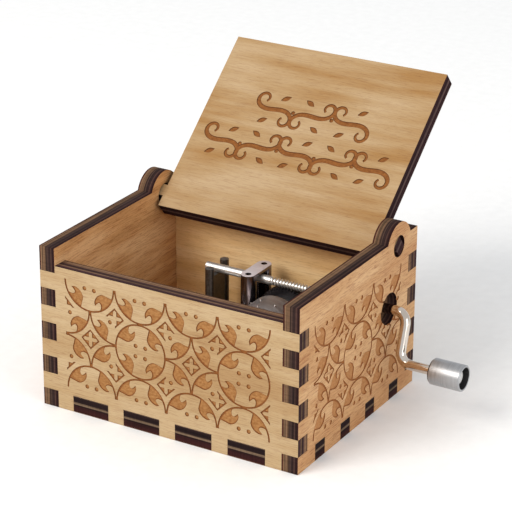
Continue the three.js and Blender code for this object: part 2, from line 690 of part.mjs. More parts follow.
// Plate that stands across its Y axis with a bore, on a foot that points to +Y.
function bearingPost(boreZ, boreRadius) {
  const plate = new THREE.Shape();
  const half = POST_WIDTH / 2;
  const shoulder = boreZ + POST_CROWN - half;
  plate.moveTo(-half, FOOT_BOTTOM);
  plate.lineTo(half, FOOT_BOTTOM);
  plate.lineTo(half, shoulder);
  plate.absarc(0, shoulder, half, 0, Math.PI);
  plate.holes.push(circleHole(0, boreZ, boreRadius));
  const upright = sheet(plate, POST_THICKNESS).rotateX(Math.PI / 2).translate(0, POST_THICKNESS, 0);
  const foot = block(
    [-half, POST_THICKNESS / 2, FOOT_BOTTOM],
    [half, POST_THICKNESS + FOOT_LENGTH, FOOT_BOTTOM + FOOT_HEIGHT],
  );
  const hole = screwHole(0, FOOT_SCREW_REACH, FOOT_BOTTOM, FOOT_BOTTOM + FOOT_HEIGHT);
  return cut(join(upright, foot), hole);
}

function addSupports() {
  place(musicBox, "shaft_bracket", shaftBracket(), NICKEL);
  place(musicBox, "shaft_saddle", shaftSaddle(), GUNMETAL);
  const drumBore = ARBOR_RADIUS + HOLE_CLEARANCE;
  const frontPost = place(musicBox, "drum_front_post", bearingPost(DRUM_Z, drumBore), ZINC);
  frontPost.position.set(DRUM_X, FRONT_POST_Y, 0);
  frontPost.rotation.z = Math.PI;
  const rearPost = place(musicBox, "drum_rear_post", bearingPost(DRUM_Z, drumBore), ZINC);
  rearPost.position.set(DRUM_X, REAR_POST_Y, 0);
  const shaftBore = SHAFT_RADIUS + HOLE_CLEARANCE;
  const rightPost = place(musicBox, "shaft_right_post", bearingPost(SHAFT_Z, shaftBore), ZINC);
  rightPost.position.set(RIGHT_POST_X + POST_THICKNESS, SHAFT_Y, 0);
  rightPost.rotation.z = Math.PI / 2;
  const seat = FOOT_BOTTOM + FOOT_HEIGHT;
  FOOT_SCREW_PLACES.forEach(([name, x, y, head], i) => addScrew(name, x, y, seat, i, head));
}

function addMovementBed() {
  place(musicBox, "bedplate", bedplate(), ZINC);
  place(musicBox, "comb", comb(), STEEL);
  addCombScrews();
  CASE_SCREW_PLACES.forEach(([x, y], i) => {
    place(musicBox, `case_screw_${i + 1}`, caseScrew(), STEEL).position.set(x, y, 0);
  });
}

// ---------------------------------------------------------------- worm shaft, coupling, crank and knob

// One helical thread about X, as a closed bar of four-sided sections that start inside the shaft.
function wormThread(start, end) {
  const sunk = (WORM_PITCH_RADIUS - WORM_DEDENDUM) / 2;
  const crest = WORM_PITCH_RADIUS + WORM_ADDENDUM;
  const halfAt = (radius) => WORM_THREAD_WIDTH / 2 + (WORM_PITCH_RADIUS - radius) * FLANK_SLOPE;
  const section = [
    [-halfAt(sunk), sunk],
    [halfAt(sunk), sunk],
    [halfAt(crest), crest],
    [-halfAt(crest), crest],
  ];
  const steps = Math.ceil(((end - start) / WORM_LEAD) * WORM_STEPS_PER_TURN);
  const positions = [];
  for (let i = 0; i <= steps; i += 1) {
    const turn = (2 * Math.PI * i) / WORM_STEPS_PER_TURN;
    const along = start + (WORM_LEAD * i) / WORM_STEPS_PER_TURN;
    section.forEach(([x, r]) => positions.push(along + x, r * Math.cos(turn), r * Math.sin(turn)));
  }
  const faces = [0, 3, 2, 0, 2, 1];
  for (let i = 0; i < steps; i += 1) {
    for (let side = 0; side < 4; side += 1) {
      const a = 4 * i + side;
      const b = 4 * i + ((side + 1) % 4);
      faces.push(a, b, b + 4, a, b + 4, a + 4);
    }
  }
  const last = 4 * steps;
  faces.push(last, last + 1, last + 2, last, last + 2, last + 3);
  const geometry = new THREE.BufferGeometry();
  geometry.setAttribute("position", new THREE.BufferAttribute(new Float32Array(positions), 3));
  geometry.setIndex(faces);
  return geometry;
}

// Ground shaft with a worm cut into it; the thread's ends are faced square.
function wormShaft() {
  const root = WORM_PITCH_RADIUS - WORM_DEDENDUM;
  const profile = [
    [0, SHAFT_LEFT_END],
    [SHAFT_RADIUS - SHAFT_CHAMFER, SHAFT_LEFT_END],
    [SHAFT_RADIUS, SHAFT_LEFT_END + SHAFT_CHAMFER],
    [SHAFT_RADIUS, WORM_START],
    [root, WORM_START + MODULE],
    [root, WORM_END - MODULE],
    [SHAFT_RADIUS, WORM_END],
    [SHAFT_RADIUS, SHAFT_RIGHT_END],
    [0, SHAFT_RIGHT_END],
  ];
  const reach = 2 * SHAFT_RADIUS;
  const window = block([WORM_START, -reach, -reach], [WORM_END, reach, reach]);
  const thread = common(wormThread(WORM_START - WORM_LEAD, WORM_END + WORM_LEAD), window);
  return join(turned(profile, SHAFT_SIDES, "x"), thread);
}

function couplingSleeve() {
  const shaftBore = SHAFT_RADIUS + SEAT_GAP;
  const wireBore = WIRE_RADIUS + SEAT_GAP;
  const profile = [
    [shaftBore, SLEEVE_START],
    [SLEEVE_RADIUS, SLEEVE_START],
    [SLEEVE_RADIUS, SLEEVE_END],
    [wireBore, SLEEVE_END],
    [wireBore, SLEEVE_MIDDLE],
    [shaftBore, SLEEVE_MIDDLE],
    [shaftBore, SLEEVE_START],
  ];
  const hole = bar(GRUB_RADIUS + SEAT_GAP, wireBore / 2, SLEEVE_RADIUS + CUT_OVERRUN, SCREW_SIDES);
  return cut(turned(profile, SLEEVE_SIDES, "x"), hole.translate(GRUB_X, 0, 0));
}

function grubScrew() {
  const tip = WIRE_RADIUS + 2 * SEAT_GAP;
  const socketFloor = SLEEVE_RADIUS - SCREW_SLOT_DEPTH;
  const socket = bar(GRUB_RADIUS / 2, socketFloor, SLEEVE_RADIUS + CUT_OVERRUN, GRUB_SOCKET_SIDES);
  return cut(bar(GRUB_RADIUS, tip, SLEEVE_RADIUS, SCREW_SIDES), socket).translate(GRUB_X, 0, 0);
}

// Wire along X, down the arm, and along X again, with a round bend at each corner.
function crankWire() {
  const corners = [
    [WIRE_START, 0],
    [ARM_X, 0],
    [ARM_X, -CRANK_ARM],
    [WIRE_END, -CRANK_ARM],
  ].map(([x, z]) => new THREE.Vector3(x, 0, z));
  const path = new THREE.CurvePath();
  let from = corners[0];
  for (const [before, corner, after] of [corners.slice(0, 3), corners.slice(1, 4)]) {
    const entry = corner.clone().add(before.clone().sub(corner).setLength(CRANK_BEND));
    const leave = corner.clone().add(after.clone().sub(corner).setLength(CRANK_BEND));
    path.add(new THREE.LineCurve3(from, entry));
    path.add(new THREE.QuadraticBezierCurve3(entry, corner, leave));
    from = leave;
  }
  path.add(new THREE.LineCurve3(from, corners[3]));
  const section = new THREE.Shape().absarc(0, 0, WIRE_RADIUS, 0, 2 * Math.PI);
  return new THREE.ExtrudeGeometry(section, { steps: WIRE_STEPS, extrudePath: path, curveSegments: 6 });
}

// Turned knob with a bore for the wire and a round recess in its outer end.
function crankKnob() {
  const bore = WIRE_RADIUS + KNOB_CLEARANCE;
  const floor = KNOB_END - KNOB_RECESS_DEPTH;
  const lip = KNOB_CHAMFER / 2;
  const profile = [
    [bore, KNOB_X],
    [KNOB_RADIUS - KNOB_CHAMFER, KNOB_X],
    [KNOB_RADIUS, KNOB_X + KNOB_CHAMFER],
    [KNOB_RADIUS, KNOB_END - lip],
    [KNOB_RADIUS - lip, KNOB_END],
    [KNOB_RECESS_RADIUS, KNOB_END],
    [KNOB_RECESS_RADIUS, floor],
    [bore, floor],
    [bore, KNOB_X],
  ];
  return turned(profile, KNOB_SIDES, "x").translate(0, 0, -CRANK_ARM);
}

// Push-on cap over the wire's end, which keeps the knob on.
function knobCap() {
  const bore = WIRE_RADIUS + SEAT_GAP;
  const profile = [
    [bore, CAP_START],
    [CAP_RADIUS, CAP_START],
    [CAP_RADIUS, CAP_END - CAP_CHAMFER],
    [CAP_RADIUS - CAP_CHAMFER, CAP_END],
    [0, CAP_END],
    [0, WIRE_END + SEAT_GAP],
    [bore, WIRE_END + SEAT_GAP],
    [bore, CAP_START],
  ];
  return turned(profile, CAP_SIDES, "x").translate(0, 0, -CRANK_ARM);
}

function addCrankLine() {
  const line = new THREE.Group();
  line.position.set(0, SHAFT_Y, SHAFT_Z);
  line.rotation.x = HANG;
  musicBox.add(line);
  place(line, "worm_shaft", wormShaft(), STEEL);
  const washerBore = SHAFT_RADIUS + SEAT_GAP;
  const washer = tube(washerBore, THRUST_WASHER_RADIUS, WASHER_START, WASHER_END, POST_SIDES, "x");
  place(line, "thrust_washer", washer, BRASS);
  place(line, "coupling_sleeve", couplingSleeve(), BRASS);
  place(line, "grub_screw", grubScrew(), STEEL);
  place(line, "crank_wire", crankWire(), CHROME);
  place(line, "crank_knob", crankKnob(), ALUMINIUM);
  place(line, "knob_cap", knobCap(), STEEL);
}

// ---------------------------------------------------------------- drum, gear and arbor

// Angle about Y, from +Z towards +X, that puts a tooth into the worm's thread gap nearest the gear's top.
function meshAngle() {
  const start = WORM_START - WORM_LEAD;
  const bottomTurn = (-Math.PI / 2 - HANG) / (2 * Math.PI);
  const gaps = Math.round((DRUM_X - start) / WORM_LEAD - bottomTurn - 0.5);
  const gapX = start + WORM_LEAD * (bottomTurn + gaps + 0.5);
  return (gapX - DRUM_X) / GEAR_PITCH_RADIUS;
}

// Toothed rim about Y, centred on the shaft; the teeth lean along the worm's lead.
function gearRim() {
  const root = GEAR_PITCH_RADIUS - GEAR_DEDENDUM;
  const tip = GEAR_PITCH_RADIUS + GEAR_ADDENDUM;
  const halfAngleAt = (radius) =>
    (GEAR_TOOTH_WIDTH / 2 + (GEAR_PITCH_RADIUS - radius) * FLANK_SLOPE) / radius;
  const outline = [];
  for (let tooth = 0; tooth < GEAR_TEETH; tooth += 1) {
    const middle = meshAngle() + (2 * Math.PI * tooth) / GEAR_TEETH;
    const corners = [
      [root, -halfAngleAt(root)],
      [tip, -halfAngleAt(tip)],
      [tip, halfAngleAt(tip)],
      [root, halfAngleAt(root)],
    ];
    corners.forEach(([radius, offset]) => {
      outline.push([radius * Math.sin(middle + offset), radius * Math.cos(middle + offset)]);
    });
  }
  const shape = polygon(outline.reverse());
  shape.holes.push(circleHole(0, 0, ARBOR_RADIUS + SEAT_GAP));
  const rim = new THREE.ExtrudeGeometry(shape, { depth: GEAR_WIDTH, bevelEnabled: false });
  rim.rotateX(Math.PI / 2).translate(0, GEAR_WIDTH / 2, 0);
  return leaned(rim, WORM_LEAD / (2 * Math.PI * WORM_PITCH_RADIUS) / GEAR_PITCH_RADIUS);
}

// Turns each point about Y in proportion to its own y.
function leaned(geometry, radiansPerMillimetre) {
  const points = geometry.getAttribute("position");
  for (let i = 0; i < points.count; i += 1) {
    const angle = points.getY(i) * radiansPerMillimetre;
    const x = points.getX(i);
    const z = points.getZ(i);
    points.setX(i, x * Math.cos(angle) + z * Math.sin(angle));
    points.setZ(i, z * Math.cos(angle) - x * Math.sin(angle));
  }
  return geometry;
}

// Moulded gear with a hub that plugs into the drum's back end.
function drumGear() {
  const inner = ARBOR_RADIUS + SEAT_GAP;
  const hubBack = -GEAR_WIDTH / 2 + GEAR_RIM_OVERLAP;
  const shoulder = DRUM_BACK - SHAFT_Y + SEAT_GAP;
  const step = (shoulder + hubBack) / 2;
  const hub = turned(
    [
      [inner, shoulder - PLUG_LENGTH],
      [PLUG_RADIUS, shoulder - PLUG_LENGTH],
      [PLUG_RADIUS, shoulder],
      [HUB_RADIUS, shoulder],
      [HUB_RADIUS, step],
      [HUB_RADIUS - MODULE, step],
      [HUB_RADIUS - MODULE, hubBack],
      [inner, hubBack],
      [inner, shoulder - PLUG_LENGTH],
    ],
    HUB_SIDES,
    "y",
  );
  return join(gearRim(), hub).translate(DRUM_X, SHAFT_Y, DRUM_Z);
}

// Thin steel drum with the pins of the tune in one ring for each tine.
function drumShell() {
  const shell = tube(DRUM_RADIUS - DRUM_WALL, DRUM_RADIUS, DRUM_FRONT, DRUM_BACK, DRUM_SIDES, "y");
  const goldenTurn = Math.PI * (3 - Math.sqrt(5));
  const pins = [];
  for (let tine = 0; tine < TINE_COUNT; tine += 1) {
    for (let note = 0; note < PINS_PER_TINE; note += 1) {
      const pin = bar(PIN_RADIUS, DRUM_RADIUS - DRUM_WALL / 2, DRUM_RADIUS + PIN_HEIGHT, PIN_SIDES);
      pin.rotateY(goldenTurn * (tine * PINS_PER_TINE + note));
      pins.push(pin.translate(0, COMB_Y - COMB_HALF_WIDTH + (tine + 0.5) * TINE_PITCH, 0));
    }
  }
  return join(shell, ...pins).translate(DRUM_X, 0, DRUM_Z);
}

function drumCap() {
  const inner = ARBOR_RADIUS + SEAT_GAP;
  const front = DRUM_FRONT + SEAT_GAP;
  return tube(inner, PLUG_RADIUS, front, front + PLUG_LENGTH, HUB_SIDES, "y").translate(DRUM_X, 0, DRUM_Z);
}

function drumArbor() {
  const front = FRONT_POST_Y - POST_THICKNESS - ARBOR_RADIUS;
  const back = REAR_POST_Y + POST_THICKNESS + ARBOR_RADIUS;
  return bar(ARBOR_RADIUS, front, back, POST_SIDES, "y").translate(DRUM_X, 0, DRUM_Z);
}

function addDrum() {
  place(musicBox, "drum_shell", drumShell(), STEEL);
  place(musicBox, "drum_cap", drumCap(), BLACK_PLASTIC);
  place(musicBox, "drum_gear", drumGear(), BLACK_PLASTIC);
  place(musicBox, "drum_arbor", drumArbor(), STEEL);
}

addCase();
addMovementBed();
addSupports();
addCrankLine();
addDrum();

export default musicBox;
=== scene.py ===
import json
import math

import bmesh
import bpy
from mathutils import Matrix, Vector
from mathutils.geometry import delaunay_2d_cdt


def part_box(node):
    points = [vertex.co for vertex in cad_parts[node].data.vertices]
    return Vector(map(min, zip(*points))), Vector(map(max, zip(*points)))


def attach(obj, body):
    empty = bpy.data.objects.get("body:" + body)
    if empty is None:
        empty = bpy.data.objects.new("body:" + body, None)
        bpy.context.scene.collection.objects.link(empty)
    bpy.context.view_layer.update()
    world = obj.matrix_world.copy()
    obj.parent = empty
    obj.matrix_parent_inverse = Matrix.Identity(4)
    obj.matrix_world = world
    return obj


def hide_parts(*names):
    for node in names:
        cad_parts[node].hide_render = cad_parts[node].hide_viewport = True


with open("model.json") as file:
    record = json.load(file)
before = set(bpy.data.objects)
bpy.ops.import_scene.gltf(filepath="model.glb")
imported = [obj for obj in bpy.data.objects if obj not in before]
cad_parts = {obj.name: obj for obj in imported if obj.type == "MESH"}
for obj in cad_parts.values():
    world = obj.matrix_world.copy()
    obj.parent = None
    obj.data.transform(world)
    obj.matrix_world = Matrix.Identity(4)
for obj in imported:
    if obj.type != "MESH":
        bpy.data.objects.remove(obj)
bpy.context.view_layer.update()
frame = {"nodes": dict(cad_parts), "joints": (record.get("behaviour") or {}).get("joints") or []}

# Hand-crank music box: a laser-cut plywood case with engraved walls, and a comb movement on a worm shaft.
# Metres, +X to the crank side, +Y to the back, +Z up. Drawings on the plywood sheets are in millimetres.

MM = 0.001

# ---------------------------------------------------------------- sizes

# Engraving
ENGRAVED_DEPTH = 0.15
SCORCH_WIDTH = 0.2  # burnt outline of an engraved area
DOT_SCORCH_WIDTH = 0.17
FINE_SCORCH_WIDTH = 0.14  # round the lid's thinner shapes
STROKE_WIDTH = 0.4

# Ornament tile, measured from the centre of its ring
TILE_SIDE = 6.37
RING_RADIUS = 6.2  # its line runs a little into the next ring's, so that the two are cut as one
LEAF_START = 204.8
LEAF_END = 249.2
LEAF_SIDE = [
    (-2.2, -5.6), (-2.0, -4.7), (-1.68, -3.3), (-2.1, -2.25), (-2.8, -1.6), (-3.75, -1.22), (-4.6, -1.4),
]
LEAF_NOTCH = [(-4.15, -1.8), (-3.74, -2.35), (-3.88, -2.72), (-4.35, -2.92), (-4.9, -2.88)]
DOT_CENTRE = (-1.25, -1.17)
DOT_RADIUS = 0.5
STAR_REACH = 2.35
STAR_ARM = 0.42
STAR_LINE_WIDTH = 0.5
# Ring centre of each tile in the top left block of the ornament, as [column line, row line]
RING_CENTRES = (((1, 0), (1, 0), (3, 0), (3, 0)), ((0, 1), (2, 1), (3, 2), (3, 2)))
TILE_ROWS = 4

# Lid flourishes: (distance from the pivot, scrolls, spacing, stroke width) of each line
SCROLL_LINES = ((25.6, 3, 9.9, 1.2), (15.4, 5, 9.6, 1.25))
SCROLL_LENGTH = 22.5
SCROLL_TURNS = 0.95
SCROLL_TILT = 6
PETAL_LENGTH = 2.7
PETAL_WIDTH = 1.25
PETAL_TILT = 28

# Crank
CRANK_REACH = 4.4
CRANK_BEND = 2.6
BEND_STEPS = 12
KNOB_CHAMFER = 0.35
KNOB_RECESS_RADIUS = 2.4
KNOB_RECESS_DEPTH = 3.2

# Worm and drum
WORM_START = 2.6
WORM_END = 13.4
WORM_LEAD = math.pi * 0.25
WORM_ROOT = 0.5
WORM_CREST = 0.95
PINS_PER_TINE = 3
TINE_COUNT = 18
TINE_PITCH = 0.98
PIN_RADIUS = 0.2

# Sharp edges: a fold steeper than this is shaded as an edge
SHARP = math.radians(38)

# Wood and soot patterns: (x, y, z) size of one grain in the sheet's own axes, x along the fibres
CLOUD_SIZE = (34, 13, 34)
FIGURE_SIZE = (38, 3.6, 38)
FIBRE_SIZE = (5.0, 0.25, 5.0)
PORE_SIZE = (1.9, 0.17, 1.9)
TOAST_SIZE = (0.7, 0.5, 0.7)
RASTER_LINE_SIZE = (4, 0.16, 4)
GLUE_LINE_SIZE = (24, 24, 0.24)
SOOT_SIZE = (0.35, 0.35, 6)

FLOOR_DROP = 0.05
FLOOR_HALF_SIDE = 3


def corners(node):
    """Lowest and highest corners of a CAD node in millimetres."""
    low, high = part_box(node)
    return low / MM, high / MM


def joint_place(name):
    joint = next(j for j in frame["joints"] if j["name"] == name)
    return Vector(joint["pos_m"]) / MM


# ---------------------------------------------------------------- materials

def linear(code):
    """sRGB hex to linear colour with alpha."""
    values = [int(code[i:i + 2], 16) / 255 for i in (1, 3, 5)]
    return tuple(v / 12.92 if v <= 0.04045 else ((v + 0.055) / 1.055) ** 2.4 for v in values) + (1,)


def feed(tree, node, links):
    """Links to a node's inputs, each as (input, source node, output)."""
    for socket, source, output in links:
        tree.links.new(source.outputs[output], node.inputs[socket])


def add(tree, kind, settings=(), links=()):
    """A node with its settings and links. Stops are (place, hex code or grey share) of a colour ramp."""
    node = tree.nodes.new(kind)
    for name, value in dict(settings).items():
        if name == "stops":
            elements = node.color_ramp.elements
            while len(elements) < len(value):
                elements.new(0.5)
            for element, (place, tone) in zip(elements, value):
                element.position = place
                element.color = linear(tone) if isinstance(tone, str) else (tone, tone, tone, 1)
        elif isinstance(name, int) or name in node.inputs:
            node.inputs[name].default_value = value
        else:
            setattr(node, name, value)
    feed(tree, node, links)
    return node


# A Mix node's colour sockets share their names with its other sockets, so they go by number
SHARE, UNDER, OVER, BLENDED = 0, 6, 7, 2
BLEND = {"data_type": "RGBA", "blend_type": "MIX"}
MULTIPLY = {"data_type": "RGBA", "blend_type": "MULTIPLY"}


def grain_of(tree, size, offset=(0, 0, 0), detail=3, roughness=0.5):
    """Noise whose grains measure size = (x, y, z) millimetres in the piece's own axes."""
    place = add(tree, "ShaderNodeTexCoord")
    scale = tuple(1 / (s * MM) for s in size)
    settings = {"Scale": scale, "Location": offset}
    mapping = add(tree, "ShaderNodeMapping", settings, [("Vector", place, "Object")])
    settings = {"Scale": 1.0, "Detail": detail, "Roughness": roughness}
    return add(tree, "ShaderNodeTexNoise", settings, [("Vector", mapping, "Vector")])


def new_material(name, roughness, metallic=0.0, **sockets):
    material = bpy.data.materials.new(name)
    material.use_nodes = True
    shader = material.node_tree.nodes["Principled BSDF"]
    shader.inputs["Roughness"].default_value = roughness
    shader.inputs["Metallic"].default_value = metallic
    for socket, value in sockets.items():
        shader.inputs[socket.replace("_", " ")].default_value = value
    return material, material.node_tree, shader


RAMP = "ShaderNodeValToRGB"
MIX = "ShaderNodeMix"
BUMP = "ShaderNodeBump"


def basswood_face(name, pale, mid, warm, seed, contrast):
    """Basswood veneer, sanded and left bare: soft long figure, fine darker fibres and short pores."""
    material, tree, shader = new_material(name, 0.62, Specular_IOR_Level=0.35)
    clouds = grain_of(tree, CLOUD_SIZE, (seed * 7, seed, 0), 2, 0.5)
    figure = grain_of(tree, FIGURE_SIZE, (seed, seed * 2, 0), 3, 0.55)
    fibres = grain_of(tree, FIBRE_SIZE, (seed * 3, seed, 0), 5, 0.74)
    pores = grain_of(tree, PORE_SIZE, (seed, seed * 5, 0), 2, 0.5)
    drift = add(tree, MIX, BLEND | {SHARE: 0.55}, [(UNDER, figure, "Fac"), (OVER, clouds, "Fac")])
    stops = [(0.38, warm), (0.5, mid), (0.6, pale)]
    tone = add(tree, RAMP, {"stops": stops}, [("Fac", drift, BLENDED)])
    stops = [(0.36, "#B58A6A"), (0.5, "#FCFAF8"), (0.62, "#FFFFFF")]
    fibre_tone = add(tree, RAMP, {"stops": stops}, [("Fac", fibres, "Fac")])
    layers = [(UNDER, tone, "Color"), (OVER, fibre_tone, "Color")]
    grained = add(tree, MIX, MULTIPLY | {SHARE: contrast}, layers)
    pore_tone = add(tree, RAMP, {"stops": [(0.33, "#A87A58"), (0.4, "#FFFFFF")]}, [("Fac", pores, "Fac")])
    layers = [(UNDER, grained, BLENDED), (OVER, pore_tone, "Color")]
    flecked = add(tree, MIX, MULTIPLY | {SHARE: contrast * 0.7}, layers)
    relief = add(tree, BUMP, {"Strength": 1.0, "Distance": 0.035 * MM}, [("Height", fibres, "Fac")])
    feed(tree, shader, [("Base Color", flecked, BLENDED), ("Normal", relief, "Normal")])
    return material


def engraved_floor(name, dark, light, seed):
    """Floor that the laser leaves when it rasters wood away: toasted, mottled and faintly lined."""
    material, tree, shader = new_material(name, 0.8, Specular_IOR_Level=0.2)
    mottle = grain_of(tree, TOAST_SIZE, (seed, 0, 0), 4, 0.6)
    lines = grain_of(tree, RASTER_LINE_SIZE, (0, seed, 0), 1, 0.4)
    tone = add(tree, RAMP, {"stops": [(0.32, dark), (0.66, light)]}, [("Fac", mottle, "Fac")])
    line_tone = add(tree, RAMP, {"stops": [(0.35, 0.86), (0.6, 1.05)]}, [("Fac", lines, "Fac")])
    layers = [(UNDER, tone, "Color"), (OVER, line_tone, "Color")]
    rastered = add(tree, MIX, MULTIPLY | {SHARE: 0.7}, layers)
    relief = add(tree, BUMP, {"Strength": 1.0, "Distance": 0.04 * MM}, [("Height", mottle, "Fac")])
    feed(tree, shader, [("Base Color", rastered, BLENDED), ("Normal", relief, "Normal")])
    return material


def scorched_plies(name, plies, thickness):
    """Laser-cut edge of three-ply board: charred glue lines and core, tan where the cut ran cleaner."""
    material, tree, shader = new_material(name, 0.85, Specular_IOR_Level=0.12)
    place = add(tree, "ShaderNodeTexCoord")
    depth = add(tree, "ShaderNodeSeparateXYZ", links=[("Vector", place, "Object")])
    settings = {"From Min": 0.0, "From Max": -thickness * MM}
    share = add(tree, "ShaderNodeMapRange", settings, [("Value", depth, "Z")])
    bands = add(tree, RAMP, {"stops": plies}, [("Fac", share, "Result")])
    veins = grain_of(tree, GLUE_LINE_SIZE, (3, 1, 7), 4, 0.7)
    vein_tone = add(tree, RAMP, {"stops": [(0.4, 0.2), (0.5, 0.75), (0.58, 1.0)]}, [("Fac", veins, "Fac")])
    layers = [(UNDER, bands, "Color"), (OVER, vein_tone, "Color")]
    veined = add(tree, MIX, MULTIPLY | {SHARE: 0.75}, layers)
    soot = grain_of(tree, SOOT_SIZE, (1, 4, 2), 2, 0.5)
    soot_tone = add(tree, RAMP, {"stops": [(0.3, 0.72), (0.6, 1.12)]}, [("Fac", soot, "Fac")])
    layers = [(UNDER, veined, BLENDED), (OVER, soot_tone, "Color")]
    sooty = add(tree, MIX, MULTIPLY | {SHARE: 0.7}, layers)
    relief = add(tree, BUMP, {"Strength": 1.0, "Distance": 0.05 * MM}, [("Height", soot, "Fac")])
    feed(tree, shader, [("Base Color", sooty, BLENDED), ("Normal", relief, "Normal")])
    return material


def metal(name, pale, dark, roughness, grain, relief, metallic=1.0):
    """A metal or moulding whose tone and gloss vary with grains of the given size in millimetres."""
    material, tree, shader = new_material(name, roughness, metallic)
    grains = grain_of(tree, grain, (2, 5, 1), 3, 0.55)
    tone = add(tree, RAMP, {"stops": [(0.3, dark), (0.7, pale)]}, [("Fac", grains, "Fac")])
    settings = {"From Min": 0.3, "From Max": 0.7, "To Min": roughness * 0.8, "To Max": roughness * 1.25}
    gloss = add(tree, "ShaderNodeMapRange", settings, [("Value", grains, "Fac")])
    bump = add(tree, BUMP, {"Strength": 1.0, "Distance": relief * MM}, [("Height", grains, "Fac")])
    feed(tree, shader, [
        ("Base Color", tone, "Color"), ("Roughness", gloss, "Result"), ("Normal", bump, "Normal"),
    ])
    return material


# ---------------------------------------------------------------- plywood sheets

def loop_area(loop):
    return sum(a[0] * b[1] - b[0] * a[1] for a, b in zip(loop, loop[1:] + loop[:1])) / 2


def chained(edges):
    """Closed loops of points from directed edges."""
    after = dict(edges)
    loops = []
    while after:
        start, point = next(iter(after.items()))
        loop = [start]
        del after[start]
        while point != start:
            loop.append(point)
            point = after.pop(point)
        loops.append(loop)
    return loops


def straightened(loop):
    """The loop without the points that lie on a straight side."""
    kept = []
    for before, point, after in zip(loop[-1:] + loop[:-1], loop, loop[1:] + loop[:1]):
        a = Vector(point) - Vector(before)
        b = Vector(after) - Vector(point)
        if abs(a.x * b.y - a.y * b.x) > 1e-4:
            kept.append(point)
    return kept


def sheet_loops(node, placement):
    """Outline and holes of the CAD sheet's good face, in the sheet's own millimetres."""
    back = placement.inverted()
    mesh = frame["nodes"][node].data
    points = [back @ v.co / MM for v in mesh.vertices]
    edges = set()
    for face in mesh.polygons:
        if all(abs(points[i].z) < 0.01 for i in face.vertices):
            ring = [(round(points[i].x, 3), round(points[i].y, 3)) for i in face.vertices]
            edges.update(zip(ring, ring[1:] + ring[:1]))
    rim = [(a, b) for a, b in edges if (b, a) not in edges]
    loops = [straightened(loop) for loop in chained(rim)]
    return sorted(loops, key=lambda loop: -abs(loop_area(loop)))


def triangulated(shapes):
    """Triangles of overlapping polygons, each with the numbers of the polygons that cover it."""
    points = []
    faces = []
    for shape in shapes:
        ring = shape if loop_area(shape) > 0 else shape[::-1]
        faces.append(list(range(len(points), len(points) + len(ring))))
        points.extend(Vector(p) for p in ring)
    out = delaunay_2d_cdt(points, [], faces, 0, 1e-4)
    covered = [(tri, set(sources)) for tri, sources in zip(out[2], out[5])]
    return out[0], covered


TOP, SUNK, BACK = 0, 1, 2
WOOD, SCORCH, ENGRAVED, EDGE, INSIDE = range(5)


def sheet_mesh(name, loops, marks, thickness):
    """A sheet with its good face at z = 0, and marks = (kind, polygon) sunk into it.
    Kinds are stroke, a scorched line; rim, a scorched outline; and field, the toasted area inside a rim."""
    holes = len(loops)
    shapes = loops + [polygon for _, polygon in marks]
    kinds = [kind for kind, _ in marks]
    points, covered = triangulated(shapes)
    faces = []
    finish = []
    level = {}
    for tri, sources in covered:
        if 0 not in sources or any(i in sources for i in range(1, holes)):
            continue
        found = {kinds[i - holes] for i in sources if i >= holes}
        depth = SUNK if found else TOP
        look = WOOD
        if "stroke" in found or "rim" in found:
            look = SCORCH
        if "field" in found and "stroke" not in found:
            look = ENGRAVED
        ring = list(tri)
        if loop_area([tuple(points[i]) for i in ring]) < 0:
            ring.reverse()
        faces.append([(i, depth) for i in ring])
        finish.append(look)
        for edge in zip(ring, ring[1:] + ring[:1]):
            level[edge] = depth
    rim = []
    for (a, b), depth in level.items():
        other = level.get((b, a), BACK)
        if other == BACK:
            rim.append((a, b))
        for step in range(depth, other):
            faces.append([(a, step + 1), (b, step + 1), (b, step), (a, step)])
            finish.append(EDGE if other == BACK else SCORCH)
    back_loops = [[tuple(points[i]) for i in loop] for loop in chained(rim)]
    back_loops.sort(key=lambda loop: -abs(loop_area(loop)))
    numbers = {(round(points[a].x, 4), round(points[a].y, 4)): a for a, _ in rim}
    back_points, back_faces = triangulated(back_loops)
    for tri, sources in back_faces:
        if 0 not in sources or len(sources) > 1:
            continue
        ring = list(tri)
        if loop_area([tuple(back_points[i]) for i in ring]) > 0:
            ring.reverse()
        spots = [(round(back_points[i].x, 4), round(back_points[i].y, 4)) for i in ring]
        faces.append([(numbers[spot], BACK) for spot in spots])
        finish.append(INSIDE)
    heights = (0, -ENGRAVED_DEPTH, -thickness)
    index = {}
    vertices = []
    rings = []
    for face in faces:
        for key in face:
            if key not in index:
                index[key] = len(vertices)
                point = points[key[0]]
                vertices.append((point.x * MM, point.y * MM, heights[key[1]] * MM))
        rings.append([index[key] for key in face])
    mesh = bpy.data.meshes.new(name)
    mesh.from_pydata(vertices, [], rings)
    mesh.polygons.foreach_set("material_index", finish)
    mesh.update()
    return mesh


def plywood_sheet(name, node, body, placement, marks, looks, thickness):
    loops = sheet_loops(node, placement)
    piece = bpy.data.objects.new(name, sheet_mesh(name, loops, marks, thickness))
    bpy.context.scene.collection.objects.link(piece)
    for look in looks:
        piece.data.materials.append(look)
    piece.matrix_world = placement
    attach(piece, body)
    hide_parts(node)
    return piece


def sheet_placement(right, up, origin):
    """Sheet frame from the directions of its x and y, with its origin in millimetres."""
    x = Vector(right).normalized()
    y = Vector(up).normalized()
    z = x.cross(y)
    turn = Matrix((x, y, z)).transposed().to_4x4()
    return Matrix.Translation(Vector(origin) * MM) @ turn


# ---------------------------------------------------------------- ornament

